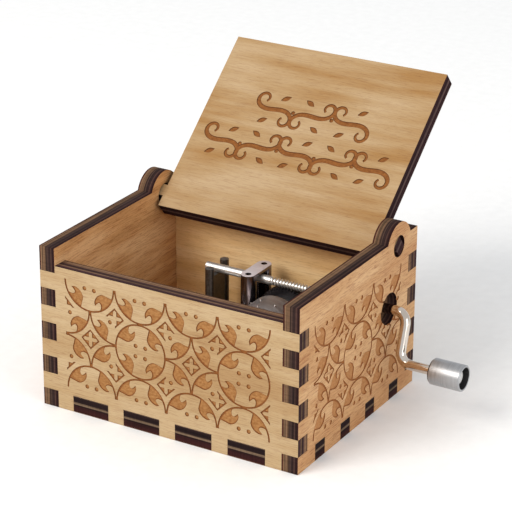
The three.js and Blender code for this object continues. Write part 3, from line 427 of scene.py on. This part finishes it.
def inset(loop, distance):
    """The loop drawn in by a distance, with mitred corners; it runs anticlockwise."""
    ring = loop if loop_area(loop) > 0 else loop[::-1]
    result = []
    for before, point, after in zip(ring[-1:] + ring[:-1], ring, ring[1:] + ring[:1]):
        a = (Vector(point) - Vector(before)).normalized()
        b = (Vector(after) - Vector(point)).normalized()
        middle = Vector((-(a.y + b.y), a.x + b.x))
        reach = distance / max(0.35, middle.length / 2)
        result.append(tuple(Vector(point) + middle.normalized() * reach))
    return result


def arc_points(radius, start, end, steps, centre=(0, 0)):
    angles = [math.radians(start + (end - start) * i / steps) for i in range(steps + 1)]
    return [(centre[0] + radius * math.cos(a), centre[1] + radius * math.sin(a)) for a in angles]


def smoothed(points, steps=3):
    """Open Catmull-Rom curve through the points."""
    ends = [points[0]] + list(points) + [points[-1]]
    curve = []
    for p0, p1, p2, p3 in zip(ends, ends[1:], ends[2:], ends[3:]):
        for i in range(steps):
            t = i / steps
            curve.append(tuple(
                0.5 * (
                    2 * b + (c - a) * t + (2 * a - 5 * b + 4 * c - d) * t * t
                    + (3 * b - a - 3 * c + d) * t ** 3
                )
                for a, b, c, d in zip(p0, p1, p2, p3)
            ))
    return curve + [tuple(points[-1])]


def outlined(polygon, width=SCORCH_WIDTH):
    return [("rim", polygon), ("field", inset(polygon, width))]


def tile_marks():
    """One tile, with its ring's centre at the origin and the tile to the lower left of it."""
    half = STROKE_WIDTH / 2
    outer = arc_points(RING_RADIUS + half, 180, 270, 14)
    inner = arc_points(RING_RADIUS - half, 270, 180, 14)
    marks = [("stroke", outer + inner)]
    leaf = arc_points(RING_RADIUS, LEAF_START, LEAF_END, 6)
    leaf += smoothed(LEAF_SIDE) + smoothed(LEAF_NOTCH)
    marks += outlined(leaf)
    marks += outlined(arc_points(DOT_RADIUS, 0, 330, 11, DOT_CENTRE), DOT_SCORCH_WIDTH)
    return marks


def star_marks():
    """One quarter of a star, with the star's centre at the origin and the quarter to its upper right."""
    slope = STAR_REACH - STAR_ARM
    marks = outlined([(STAR_ARM, STAR_ARM), (slope, STAR_ARM), (STAR_ARM, slope)])
    near = STAR_REACH - STAR_LINE_WIDTH
    marks.append(("stroke", [(STAR_REACH, 0), (0, STAR_REACH), (0, near), (near, 0)]))
    return marks


def turned(marks, quarters, centre, scale):
    """Marks turned by quarter turns about the origin, scaled and moved to a centre."""
    c, s = ((1, 0), (0, 1), (-1, 0), (0, -1))[quarters % 4]
    return [
        (kind, [
            (centre[0] + (c * x - s * y) * scale[0], centre[1] + (s * x + c * y) * scale[1])
            for x, y in polygon
        ])
        for kind, polygon in marks
    ]


def ring_centre(column, row):
    """Column and row line of the ring that a tile belongs to; rows count from the top."""
    block = 4 * (column // 4)
    mirrored = row >= TILE_ROWS // 2
    line, level = RING_CENTRES[TILE_ROWS - 1 - row if mirrored else row][column % 4]
    return block + line, TILE_ROWS - level if mirrored else level


# Quarter turns of a tile that lies (to the left of, below) its ring's centre
TURNS = {(True, True): 0, (False, True): 1, (False, False): 2, (True, False): 3}


def ornament(left, right, bottom, top, columns):
    """Marks of a whole panel, on a grid of tiles between the given edges."""
    width = (right - left) / columns
    height = (top - bottom) / TILE_ROWS
    scale = (width / TILE_SIDE, height / TILE_SIDE)
    marks = []
    for column in range(columns):
        for row in range(TILE_ROWS):
            line, level = ring_centre(column, row)
            centre = (left + line * width, top - level * height)
            on_left = line > column
            below = level == row
            quarters = TURNS[(on_left, below)]
            marks += turned(tile_marks(), quarters, centre, scale)
            far_line = column if on_left else column + 1
            far_level = row + 1 if below else row
            star = (left + far_line * width, top - far_level * height)
            marks += turned(star_marks(), quarters, star, scale)
    return marks


def scroll(centre, length, turns, width, angle, mirror=1):
    """A flourish that curls in at both ends: its bend grows evenly from the middle."""
    steps = 44
    half = length / 2
    bend = 2 * math.pi * turns * 2 / half ** 2
    tilt = math.radians(angle)
    arms = []
    for sign in (-1, 1):
        x = y = 0.0
        arm = []
        for i in range(steps + 1):
            s = half * i / steps
            arm.append((sign * x, sign * y, s / half))
            heading = bend * s * s / 2
            x += half / steps * math.cos(heading)
            y += half / steps * math.sin(heading)
        arms.append(arm)
    line = arms[0][:0:-1] + arms[1]
    placed = [
        (centre[0] + (px * math.cos(tilt) - mirror * py * math.sin(tilt)),
         centre[1] + (px * math.sin(tilt) + mirror * py * math.cos(tilt)), share)
        for px, py, share in line
    ]
    return ribbon(placed, width)


def ribbon(line, width):
    """Calligraphic stroke along (x, y, share from the middle to the end), thin at its ends."""
    sides = []
    for i, (x, y, share) in enumerate(line):
        ahead = line[min(i + 1, len(line) - 1)]
        behind = line[max(i - 1, 0)]
        along = Vector((ahead[0] - behind[0], ahead[1] - behind[1])).normalized()
        swell = width / 2 * (0.45 + 0.55 * math.cos(share * math.pi / 2))
        sides.append((Vector((x, y)), Vector((-along.y, along.x)), swell))
    marks = []
    for (p, n, w), (q, m, v) in zip(sides, sides[1:]):
        for kind, trim in (("rim", 0), ("field", FINE_SCORCH_WIDTH)):
            if min(w, v) > trim + 0.02:
                quad = [p - n * (w - trim), q - m * (v - trim), q + m * (v - trim), p + n * (w - trim)]
                marks.append((kind, [tuple(c) for c in quad]))
    return marks


def petal(centre, length, width, angle):
    turn = math.radians(angle)
    side = [(t / 8, math.sin(math.pi * t / 8)) for t in range(9)]
    shape = [(length * t, width / 2 * s) for t, s in side]
    shape += [(length * t, -width / 2 * s) for t, s in side[-2:0:-1]]
    c = math.cos(turn)
    s = math.sin(turn)
    placed = [(centre[0] + x * c - y * s, centre[1] + x * s + y * c) for x, y in shape]
    return outlined(placed, FINE_SCORCH_WIDTH)


def lid_flourishes():
    """Two lines of scrolls with petals between them, where x is across the lid and y from the pivot."""
    marks = []
    for level, count, spacing, width in SCROLL_LINES:
        for k in range(count):
            x = (k + 0.5 - count / 2) * spacing
            mirror = 1 if k % 2 else -1
            marks += scroll((x, level), SCROLL_LENGTH, SCROLL_TURNS, width, -SCROLL_TILT * mirror, mirror)
            for side in (-1, 1):
                root = (x + side * 0.6, level - mirror * side * 2.6)
                marks += petal(root, PETAL_LENGTH, PETAL_WIDTH, 90 - side * 90 - mirror * PETAL_TILT)
        for k in range(1, count):
            x = (k - count / 2) * spacing
            marks += outlined(arc_points(DOT_RADIUS, 0, 330, 11, (x, level)), FINE_SCORCH_WIDTH)
    return marks


# ---------------------------------------------------------------- turned and bent metal

def as_piece(name, mesh, looks, body, slot, *nodes):
    piece = bpy.data.objects.new(name, mesh)
    bpy.context.scene.collection.objects.link(piece)
    for look in looks:
        piece.data.materials.append(look)
    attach(piece, body)
    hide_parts(*nodes)
    return piece


def mesh_from(name, build, second_look=None):
    """A mesh made in millimetres by build(bm), shaded smooth except across sharp edges.
    Faces for which second_look(centre in mm) holds get the second look."""
    bm = bmesh.new()
    build(bm)
    bmesh.ops.remove_doubles(bm, verts=bm.verts, dist=1e-5)
    if second_look:
        for face in bm.faces:
            face.material_index = 1 if second_look(face.calc_center_median()) else 0
    bmesh.ops.scale(bm, vec=(MM, MM, MM), verts=bm.verts)
    bmesh.ops.recalc_face_normals(bm, faces=bm.faces)
    shade(bm)
    mesh = bpy.data.meshes.new(name)
    bm.to_mesh(mesh)
    bm.free()
    return mesh


def shade(bm):
    """Smooth shading that stops at open and sharp edges."""
    for face in bm.faces:
        face.smooth = True
    for edge in bm.edges:
        edge.smooth = len(edge.link_faces) == 2 and edge.calc_face_angle(0) < SHARP


def lathed(bm, profile, segments, placement=Matrix()):
    """Solid of revolution about X from (along, radius) points, which end on the axis or where they began."""
    rings = []
    for along, radius in profile:
        if radius < 1e-6:
            rings.append([bm.verts.new(placement @ Vector((along, 0, 0)))])
            continue
        angles = [2 * math.pi * i / segments for i in range(segments)]
        spots = [Vector((along, radius * math.cos(a), radius * math.sin(a))) for a in angles]
        rings.append([bm.verts.new(placement @ spot) for spot in spots])
    for first, second in zip(rings, rings[1:]):
        for i in range(segments):
            ring = [first[i % len(first)], first[(i + 1) % len(first)]]
            ring += [second[(i + 1) % len(second)], second[i % len(second)]]
            bm.faces.new(list(dict.fromkeys(ring)))


def rounded_profile(points, radius, steps=4):
    """The profile with its inner corners rounded."""
    result = [points[0]]
    for before, point, after in zip(points, points[1:], points[2:]):
        a = Vector(before) - Vector(point)
        b = Vector(after) - Vector(point)
        reach = min(radius, a.length / 2.2, b.length / 2.2)
        start = Vector(point) + a.normalized() * reach
        end = Vector(point) + b.normalized() * reach
        for i in range(steps + 1):
            t = i / steps
            curve = start * (1 - t) ** 2 + Vector(point) * 2 * t * (1 - t) + end * t * t
            result.append(tuple(curve))
    return result + [points[-1]]


def bent_tube(bm, points, radius, segments):
    """Closed round bar along a smooth line of points that lies in one plane across Y."""
    rings = []
    for i, point in enumerate(points):
        ahead = points[min(i + 1, len(points) - 1)]
        behind = points[max(i - 1, 0)]
        along = (ahead - behind).normalized()
        side = Vector((0, 1, 0))
        other = along.cross(side)
        ring = []
        for k in range(segments):
            a = 2 * math.pi * k / segments
            ring.append(bm.verts.new(point + (side * math.cos(a) + other * math.sin(a)) * radius))
        rings.append(ring)
    for first, second in zip(rings, rings[1:]):
        for k in range(segments):
            n = (k + 1) % segments
            bm.faces.new([first[k], first[n], second[n], second[k]])
    bm.faces.new(rings[0][::-1])
    bm.faces.new(rings[-1])


def crank_line():
    """Placement of the crank's own frame, with its shaft along X and its arm straight down, and the
    arm's length."""
    shaft = joint_place("crank_spin")
    knob = joint_place("knob_spin")
    arm = Vector((0, knob.y - shaft.y, knob.z - shaft.z))
    turn = Matrix.Rotation(math.atan2(arm.y, -arm.z), 4, "X")
    return Matrix.Translation((0, shaft.y, shaft.z)) @ turn, arm.length


def crank_wire_mesh():
    placement, arm = crank_line()
    low, high = corners("crank_wire")
    radius = joint_place("knob_spin").z - low.z
    arm_x = corners("right_panel")[1].x + CRANK_REACH
    bend = CRANK_BEND
    points = [Vector((low.x, 0, 0)), Vector(((low.x + arm_x - bend) / 2, 0, 0))]
    for i in range(BEND_STEPS + 1):
        a = math.pi / 2 * i / BEND_STEPS
        points.append(Vector((arm_x - bend + bend * math.sin(a), 0, -bend + bend * math.cos(a))))
    points.append(Vector((arm_x, 0, -arm / 2)))
    for i in range(BEND_STEPS + 1):
        a = math.pi / 2 * i / BEND_STEPS
        points.append(Vector((arm_x + bend - bend * math.cos(a), 0, -arm + bend - bend * math.sin(a))))
    points.append(Vector((high.x, 0, -arm)))

    def build(bm):
        bent_tube(bm, points, radius, 40)
        bm.transform(placement)

    return mesh_from("crank_wire_bent", build)


def knob_profile():
    low, high = corners("crank_knob")
    radius = (high.z - low.z) / 2
    floor = high.x - KNOB_RECESS_DEPTH
    inner = joint_place("knob_spin").z - corners("crank_wire")[0].z + 0.07
    chamfer = KNOB_CHAMFER
    return [
        (low.x, inner),
        (low.x, radius - chamfer * 1.2),
        (low.x + chamfer * 1.2, radius),
        (high.x - chamfer * 0.5, radius),
        (high.x, radius - chamfer * 0.5),
        (high.x, KNOB_RECESS_RADIUS + 0.12),
        (high.x - 0.12, KNOB_RECESS_RADIUS),
        (floor, KNOB_RECESS_RADIUS),
        (floor, inner),
        (low.x, inner),
    ]


def knob_mesh():
    axis = joint_place("knob_spin")
    low, high = corners("crank_knob")
    place = Matrix.Translation((0, axis.y, axis.z))

    # The recess and the rear chamfer take the near-black look: painted shade
    def painted_shade_faces(spot):
        bored = math.hypot(spot.y - axis.y, spot.z - axis.z) < KNOB_RECESS_RADIUS + 0.05
        return bored or spot.x < low.x + KNOB_CHAMFER

    def build(bm):
        lathed(bm, rounded_profile(knob_profile(), 0.08, 2), 96, place)

    return mesh_from("crank_knob_turned", build, painted_shade_faces)


def cap_mesh():
    axis = joint_place("knob_spin")
    low, high = corners("knob_cap")
    radius = (high.z - low.z) / 2
    place = Matrix.Translation((0, axis.y, axis.z))
    profile = [(low.x, 0), (low.x, radius), (high.x, radius), (high.x, 0)]
    return mesh_from("knob_cap_domed", lambda bm: lathed(bm, rounded_profile(profile, 0.32, 5), 48, place))


def worm_mesh():
    placement, _ = crank_line()
    low, high = corners("worm_shaft")
    radius = (high.z - low.z) / 2
    neck = 0.3
    profile = [
        (low.x, 0),
        (low.x, radius - 0.18),
        (low.x + 0.18, radius),
        (WORM_START, radius),
        (WORM_START + neck, WORM_ROOT),
        (WORM_END - neck, WORM_ROOT),
        (WORM_END, radius),
        (high.x, radius),
        (high.x, 0),
    ]

    def build(bm):
        lathed(bm, profile, 48)
        per_turn = 28
        steps = int((WORM_END - WORM_START) / WORM_LEAD * per_turn)
        section = [
            (-0.3, 0.25), (-0.2, 0.72), (-0.1, WORM_CREST), (0.1, WORM_CREST), (0.2, 0.72), (0.3, 0.25),
        ]
        rings = []
        for i in range(steps + 1):
            turn = 2 * math.pi * i / per_turn
            x = WORM_START + WORM_LEAD * i / per_turn
            rings.append([
                bm.verts.new((x + dx, r * math.cos(turn), r * math.sin(turn))) for dx, r in section
            ])
        for first, second in zip(rings, rings[1:]):
            for k in range(len(section)):
                n = (k + 1) % len(section)
                bm.faces.new([first[k], first[n], second[n], second[k]])
        bm.faces.new(rings[0][::-1])
        bm.faces.new(rings[-1])
        bm.transform(placement)

    return mesh_from("worm_shaft_cut", build)


def drum_mesh():
    axis = joint_place("drum_spin")
    low, high = corners("drum_shell")
    inner = (corners("drum_cap")[1].x - corners("drum_cap")[0].x) / 2 + 0.05
    radius = inner + 0.6
    along_y = Matrix.Translation((axis.x, 0, axis.z)) @ Matrix.Rotation(math.pi / 2, 4, "Z")
    profile = [(low.y, inner), (low.y, radius), (high.y, radius), (high.y, inner), (low.y, inner)]
    middle = (low.y + high.y) / 2
    pin_height = (high.z - low.z) / 2 - radius
    golden = math.pi * (3 - math.sqrt(5))

    def build(bm):
        lathed(bm, profile, 128, along_y)
        for tine in range(TINE_COUNT):
            for note in range(PINS_PER_TINE):
                turn = Matrix.Rotation(golden * (tine * PINS_PER_TINE + note), 4, "Y")
                y = middle + (tine + 0.5 - TINE_COUNT / 2) * TINE_PITCH
                up = Matrix.Rotation(-math.pi / 2, 4, "Y")
                place = Matrix.Translation((axis.x, y, axis.z)) @ turn @ up
                pin = [(radius - 0.3, 0), (radius - 0.3, PIN_RADIUS), (radius + pin_height * 0.7, PIN_RADIUS)]
                pin += [(radius + pin_height, PIN_RADIUS * 0.55), (radius + pin_height, 0)]
                lathed(bm, pin, 10, place)

    return mesh_from("drum_shell_pinned", build)


def in_fixed_order(bm):
    """The same mesh with its vertices and faces sorted by place, because a bevel leaves them in an order
    that changes from run to run."""
    spots = {vertex: tuple(vertex.co) for vertex in bm.verts}
    rings = []
    for face in bm.faces:
        ring = list(face.verts)
        first = min(range(len(ring)), key=lambda i: spots[ring[i]])
        rings.append((ring[first:] + ring[:first], face.material_index))
    rings.sort(key=lambda entry: [spots[vertex] for vertex in entry[0]])
    ordered = bmesh.new()
    copies = {vertex: ordered.verts.new(spots[vertex]) for vertex in sorted(spots, key=spots.get)}
    for ring, look in rings:
        ordered.faces.new([copies[vertex] for vertex in ring]).material_index = look
    ordered.normal_update()
    bm.free()
    return ordered


def eased_mesh(node, width):
    """The CAD node's shape with its sharp edges eased by a width in millimetres.
    Its upward faces and eased edges get the second look, which is painted light where it is a lighter copy of
    the first."""
    bm = bmesh.new()
    bm.from_mesh(frame["nodes"][node].data)
    bmesh.ops.remove_doubles(bm, verts=bm.verts, dist=2e-6)
    bmesh.ops.dissolve_limit(bm, angle_limit=math.radians(1), verts=bm.verts, edges=bm.edges)
    sharp = [e for e in bm.edges if len(e.link_faces) == 2 and e.calc_face_angle(0) > SHARP]
    eased = set()
    if width:
        made = bmesh.ops.bevel(
            bm, geom=sharp, offset=width * MM, offset_type="OFFSET", segments=2, profile=0.6,
            affect="EDGES", clamp_overlap=True,
        )
        eased.update(made["faces"])
    for face in bm.faces:
        # Upward faces and eased edges take the second look: painted light where it is a lighter copy
        face.material_index = 1 if face in eased or face.normal.z > 0.98 else 0
    bmesh.ops.triangulate(bm, faces=[f for f in bm.faces if len(f.verts) > 4])
    bm = in_fixed_order(bm)
    shade(bm)
    mesh = bpy.data.meshes.new(node + "_eased")
    bm.to_mesh(mesh)
    bm.free()
    return mesh


# ---------------------------------------------------------------- finishes

PLY = corners("front_panel")[1].y - corners("front_panel")[0].y

# Basswood charred along the engraving's edge: dark brown, matt and slightly rough
scorch_line = engraved_floor("scorched_outline", "#73401C", "#8C572A", 3.0)
# Basswood toasted by the laser's raster: mid brown, matt, with faint raster lines
engraved_front = engraved_floor("toasted_engraving", "#8A5A2E", "#A87847", 1.0)
engraved_side = engraved_floor("toasted_engraving_side", "#A06C3C", "#B58052", 6.0)
# The same charring on redder veneer: the outline is only a little darker than its field
scorch_side = engraved_floor("scorched_outline_side", "#874F28", "#9C6335", 8.0)
# The lid's engraving, toasted further: both the field and its outline are darker
engraved_lid = engraved_floor("toasted_flourish", "#77451D", "#905A2A", 2.0)
scorch_lid = engraved_floor("scorched_flourish_outline", "#5C3418", "#6F4320", 4.0)
# Bare sanded basswood: pale straw, almost without gloss, with soft long figure
face_front = basswood_face("basswood_front", "#BAA07A", "#B1946B", "#A58358", 1.3, 0.45)
# A redder sheet, with stronger fibres
face_side = basswood_face("basswood_side", "#D3AA7B", "#C89B6A", "#BC8957", 4.1, 0.9)
# The lid's quieter sheet, with broad clouds of tone
face_lid = basswood_face("basswood_lid", "#B89C76", "#AD8D62", "#9E7541", 7.7, 0.35)
# The base's sheet, with its fibres easier to see
face_base = basswood_face("basswood_base", "#C2A57C", "#B5976B", "#A9865A", 9.2, 0.6)
# Inner faces, which the laser never touched. The sides' redder, more saturated tone is painted shade and
# bounced light; the pale tone of the front and back is painted light
inside_sides_painted_shade = basswood_face("basswood_inside_sides_painted_shade", "#DDAE7B", "#CC9862", "#A97847", 5.4, 0.7)
inside_painted_light = basswood_face("basswood_inside_painted_light", "#F8D5A0", "#EFC68C", "#E0B174", 3.3, 0.35)

# Plies of an edge from the good face (0) to the back (1): near black where
# the glue charred, tan towards the back
SIDE_PLIES = [
    (0.0, "#3C1A1A"), (0.06, "#261012"), (0.17, "#36211F"), (0.23, "#543C34"),
    (0.29, "#2C1C1B"), (0.42, "#3A2926"), (0.48, "#523E35"), (0.56, "#342421"),
    (0.63, "#6C513C"), (0.72, "#7E6048"), (0.79, "#624936"), (0.88, "#886A50"),
    (0.93, "#542B20"), (1.0, "#2A1012"),
]
edge_side = scorched_plies("scorched_side_edge", SIDE_PLIES, PLY)
LEFT_PLIES = [(1 - place, tone) for place, tone in reversed(SIDE_PLIES)]
edge_left = scorched_plies("scorched_left_edge", LEFT_PLIES, PLY)
edge_lid = scorched_plies(
    "scorched_lid_edge",
    [
        (0.0, "#4A2A26"), (0.1, "#34191B"), (0.36, "#2C1518"), (0.44, "#584240"),
        (0.56, "#644C46"), (0.62, "#2A1517"), (0.9, "#361A1C"), (1.0, "#5A3A30"),
    ],
    PLY,
)
edge_front = scorched_plies(
    "scorched_front_edge",
    [
        (0.0, "#2E181A"), (0.08, "#402A2B"), (0.26, "#472F31"), (0.33, "#84664F"),
        (0.4, "#5E4636"), (0.45, "#3A2625"), (0.6, "#443030"), (0.66, "#745641"),
        (0.84, "#8C6C53"), (0.93, "#765741"), (1.0, "#331C1A"),
    ],
    PLY,
)
edge_base = scorched_plies(
    "scorched_base_edge",
    [
        (0.0, "#64402F"), (0.08, "#3C1B1A"), (0.4, "#2E1515"), (0.46, "#231314"),
        (0.5, "#7C6753"), (0.6, "#705B49"), (0.64, "#221415"), (0.92, "#241516"),
        (1.0, "#665246"),
    ],
    PLY,
)

# ---------------------------------------------------------------- case and lid

half_width = corners("right_panel")[1].x
half_depth = corners("back_panel")[1].y
pivot = joint_place("lid_hinge")

PANELS = [
    # name, node, right, up, origin, columns, field [left, right, bottom, top], looks
    ("front_wall", "front_panel", (1, 0, 0), (0, 0, 1), (0, -half_depth, 0), 8, (-25.6, 25.3, 5.75, 31.35),
     (face_front, scorch_line, engraved_front, edge_front, inside_painted_light)),
    ("back_wall", "back_panel", (-1, 0, 0), (0, 0, 1), (0, half_depth, 0), 8, (-25.45, 25.45, 5.75, 31.35),
     (face_front, scorch_line, engraved_front, edge_front, inside_painted_light)),
    ("right_wall", "right_panel", (0, 1, 0), (0, 0, 1), (half_width, 0, 0), 6, (-19.8, 18.7, 5.0, 31.35),
     (face_side, scorch_side, engraved_side, edge_side, inside_sides_painted_shade)),
    ("left_wall", "left_panel", (0, -1, 0), (0, 0, 1), (-half_width, 0, 0), 6, (-19.2, 19.28, 5.0, 31.35),
     (face_side, scorch_side, engraved_side, edge_left, inside_sides_painted_shade)),
]

for name, node, right, up, origin, columns, field, looks in PANELS:
    placement = sheet_placement(right, up, origin)
    plywood_sheet(name, node, "case", placement, ornament(*field, columns), looks, PLY)

base_place = sheet_placement((1, 0, 0), (0, -1, 0), (0, 0, 0))
plywood_sheet(
    "base_board", "base_panel", "case", base_place, [],
    (face_base, scorch_line, engraved_front, edge_base, inside_painted_light), PLY,
)


def lid_placement():
    """Sheet frame of the open lid's inner face, with y from the pivot to the free edge."""
    mesh = frame["nodes"]["lid_panel"].data
    widest = max(mesh.polygons, key=lambda face: face.area)
    normal = Vector(widest.normal)
    if normal.z < 0:
        normal = -normal
    up = normal.cross(Vector((1, 0, 0)))
    return sheet_placement((1, 0, 0), up, pivot + normal * PLY / 2)


plywood_sheet(
    "lid_board", "lid_panel", "lid", lid_placement(), lid_flourishes(),
    (face_lid, scorch_lid, engraved_lid, edge_lid, face_front), PLY,
)

# ---------------------------------------------------------------- movement

# Chrome plate on bent steel wire: bright and smooth, so it mirrors the wood beside it
chromed_wire = metal("chromed_steel_wire", "#E2D8CD", "#D2C6B9", 0.1, (5, 5, 5), 0.002)
# End of the wire hammered over: bright, broken by tiny dents; its part-matt near-white share is painted
# highlight
wire_end_painted_highlight = metal("peened_wire_end_painted_highlight", "#F4F3F1", "#DEDDDB", 0.4, (0.3, 0.3, 0.3), 0.01, 0.4)
# Aluminium turned on a lathe: satin grey with fine rings round its axis
turned_aluminium = metal("turned_aluminium", "#BDBEC0", "#A2A3A5", 0.4, (0.14, 6, 6), 0.0018)
# Painted shade in the knob's recess and on its rear chamfer: near black with a dull sheen
bore_painted_shade = metal("bore_painted_shade", "#1C1B1B", "#121111", 0.5, (0.2, 0.2, 0.2), 0.004, 0.0)
# Ground steel: bright and cool, with fine rings round the shaft; its part-matt near-white share is painted
# light
ground_steel_painted_light = metal("ground_steel_painted_light", "#F0EEEA", "#E0DEDA", 0.36, (0.2, 8, 8), 0.003, 0.8)
# Nickel plate on the bent sides: a mirror that takes the tone of what it faces, with its base colour darkened
# as painted shade
nickel_sides_painted_shade = metal("nickel_sides_painted_shade", "#80777B", "#6B6266", 0.2, (0.5, 0.5, 2), 0.0015)
# Painted light on the bracket's top and eased edges: a paler, matt copy of the nickel in pinkish grey, lined
# one way
nickel_top_painted_light = metal("nickel_top_painted_light", "#EFE6E8", "#DDD3D6", 0.5, (3, 0.15, 3), 0.003, 0.25)
# Gunmetal plate: dark warm grey with a dull gloss
gunmetal_plate = metal("gunmetal_plate", "#6C6662", "#55504C", 0.4, (0.5, 0.5, 0.5), 0.003)
# The same plate on the saddle's top and eased edges, paler and duller: painted light
gunmetal_painted_light_top = metal("painted_light_gunmetal_top", "#777674", "#636260", 0.5, (0.4, 0.4, 0.4), 0.003, 0.5)
# Die-cast zinc alloy: mid grey with a slight orange-peel skin
cast_zinc = metal("die_cast_zinc", "#8F8D8B", "#787674", 0.42, (0.6, 0.6, 0.6), 0.02)
# Turned brass: yellow and bright, with fine rings
turned_brass = metal("turned_brass", "#CDAA5C", "#B8934A", 0.25, (0.15, 5, 5), 0.006)
# Moulded acetal: near black, smooth, with a waxy gloss
black_acetal = metal("black_acetal", "#262326", "#171517", 0.34, (0.5, 0.5, 0.5), 0.01, 0.0)
# Tempered comb steel: cool grey, ground along the tines
comb_steel = metal("tempered_comb_steel", "#B9B9BA", "#A3A4A6", 0.26, (8, 0.2, 8), 0.006)
# Thin drum steel: warm grey with a broad soft highlight
drum_steel = metal("drum_steel", "#D2CDCA", "#BDB8B5", 0.42, (6, 0.25, 6), 0.003)

as_piece("bent_crank_wire", crank_wire_mesh(), [chromed_wire], "crank", "chrome", "crank_wire")
as_piece("turned_knob", knob_mesh(), [turned_aluminium, bore_painted_shade], "knob", "aluminium", "crank_knob")
as_piece("knob_end_cap", cap_mesh(), [wire_end_painted_highlight], "crank", "steel", "knob_cap")
as_piece("threaded_shaft", worm_mesh(), [ground_steel_painted_light], "crank", "steel", "worm_shaft")
as_piece("pinned_drum", drum_mesh(), [drum_steel], "drum", "steel", "drum_shell")

EASED = [
    # node, body, finish, slot, edge easing
    ("shaft_bracket", "case", nickel_sides_painted_shade, "nickel", 0.1),
    ("shaft_saddle", "case", gunmetal_plate, "gunmetal", 0.12),
    ("bedplate", "case", cast_zinc, "zinc", 0.15),
    ("comb", "case", comb_steel, "steel", 0.04),
    ("drum_front_post", "case", cast_zinc, "zinc", 0.1),
    ("drum_rear_post", "case", cast_zinc, "zinc", 0.1),
    ("shaft_right_post", "case", cast_zinc, "zinc", 0.1),
    ("coupling_sleeve", "crank", turned_brass, "brass", 0.1),
    ("thrust_washer", "crank", turned_brass, "brass", 0.04),
    ("grub_screw", "crank", ground_steel_painted_light, "steel", 0.03),
    ("drum_gear", "drum", black_acetal, "black_plastic", 0.0),
    ("drum_cap", "drum", black_acetal, "black_plastic", 0.1),
    ("drum_arbor", "drum", ground_steel_painted_light, "steel", 0.1),
]
screws = [node for node in sorted(frame["nodes"]) if "_screw" in node and node != "grub_screw"]
EASED += [(node, "case", ground_steel_painted_light, "steel", 0.05) for node in screws]

# Lighter copies for the upward faces and eased edges: painted light
PAINTED_LIGHT_TOPS = {"shaft_bracket": nickel_top_painted_light, "shaft_saddle": gunmetal_painted_light_top}

for node, body, look, slot, width in EASED:
    as_piece(node + "_finished", eased_mesh(node, width), [look, PAINTED_LIGHT_TOPS.get(node, look)], body, slot, node)

# ---------------------------------------------------------------- stage


def pale_floor():
    """Matt white paper, which shows no edge and only a faint tooth."""
    mesh = bpy.data.meshes.new("floor")
    bm = bmesh.new()
    bmesh.ops.create_grid(bm, x_segments=1, y_segments=1, size=FLOOR_HALF_SIDE)
    bm.to_mesh(mesh)
    bm.free()
    floor = bpy.data.objects.new("floor", mesh)
    floor.location.z = -FLOOR_DROP * MM
    bpy.context.scene.collection.objects.link(floor)
    material, tree, shader = new_material("paper_floor", 0.9, Specular_IOR_Level=0.0)
    grain = grain_of(tree, (3, 3, 3))
    tone = add(tree, RAMP, {"stops": [(0.3, "#FBFBFA"), (0.7, "#FFFFFE")]}, [("Fac", grain, "Fac")])
    feed(tree, shader, [("Base Color", tone, "Color")])
    mesh.materials.append(material)


def soft_light(name, place, target, size, power, colour):
    light = bpy.data.lights.new(name, "AREA")
    light.shape = "RECTANGLE"
    light.size, light.size_y = size
    light.energy = power
    light.color = linear(colour)[:3]
    lamp = bpy.data.objects.new(name, light)
    bpy.context.scene.collection.objects.link(lamp)
    lamp.location = place
    lamp.rotation_euler = (Vector(target) - Vector(place)).to_track_quat("-Z", "Y").to_euler()


def studio():
    centre = (0.0, 0.0, 0.02)
    soft_light("key", (-0.36, -0.8, 0.72), centre, (0.55, 0.55), 8.0, "#FFFAF3")
    soft_light("fill", (0.95, -0.3, 0.3), centre, (0.6, 0.6), 2.6, "#FFFFFF")
    world = bpy.data.worlds.new("studio")
    world.use_nodes = True
    background = world.node_tree.nodes["Background"]
    background.inputs["Color"].default_value = linear("#F2F4F7")
    background.inputs["Strength"].default_value = 0.8
    bpy.context.scene.world = world
    bpy.context.scene.view_settings.view_transform = "Standard"


def camera():
    data = bpy.data.cameras.new("camera")
    data.sensor_width = 36
    data.lens = 157.54
    data.clip_start = 0.01
    view = bpy.data.objects.new("camera", data)
    view.location = (0.23164, -0.38267, 0.22153)
    view.rotation_euler = tuple(math.radians(a) for a in (67.121, -0.308, 30.610))
    bpy.context.scene.collection.objects.link(view)
    bpy.context.scene.camera = view


pale_floor()
studio()
camera()
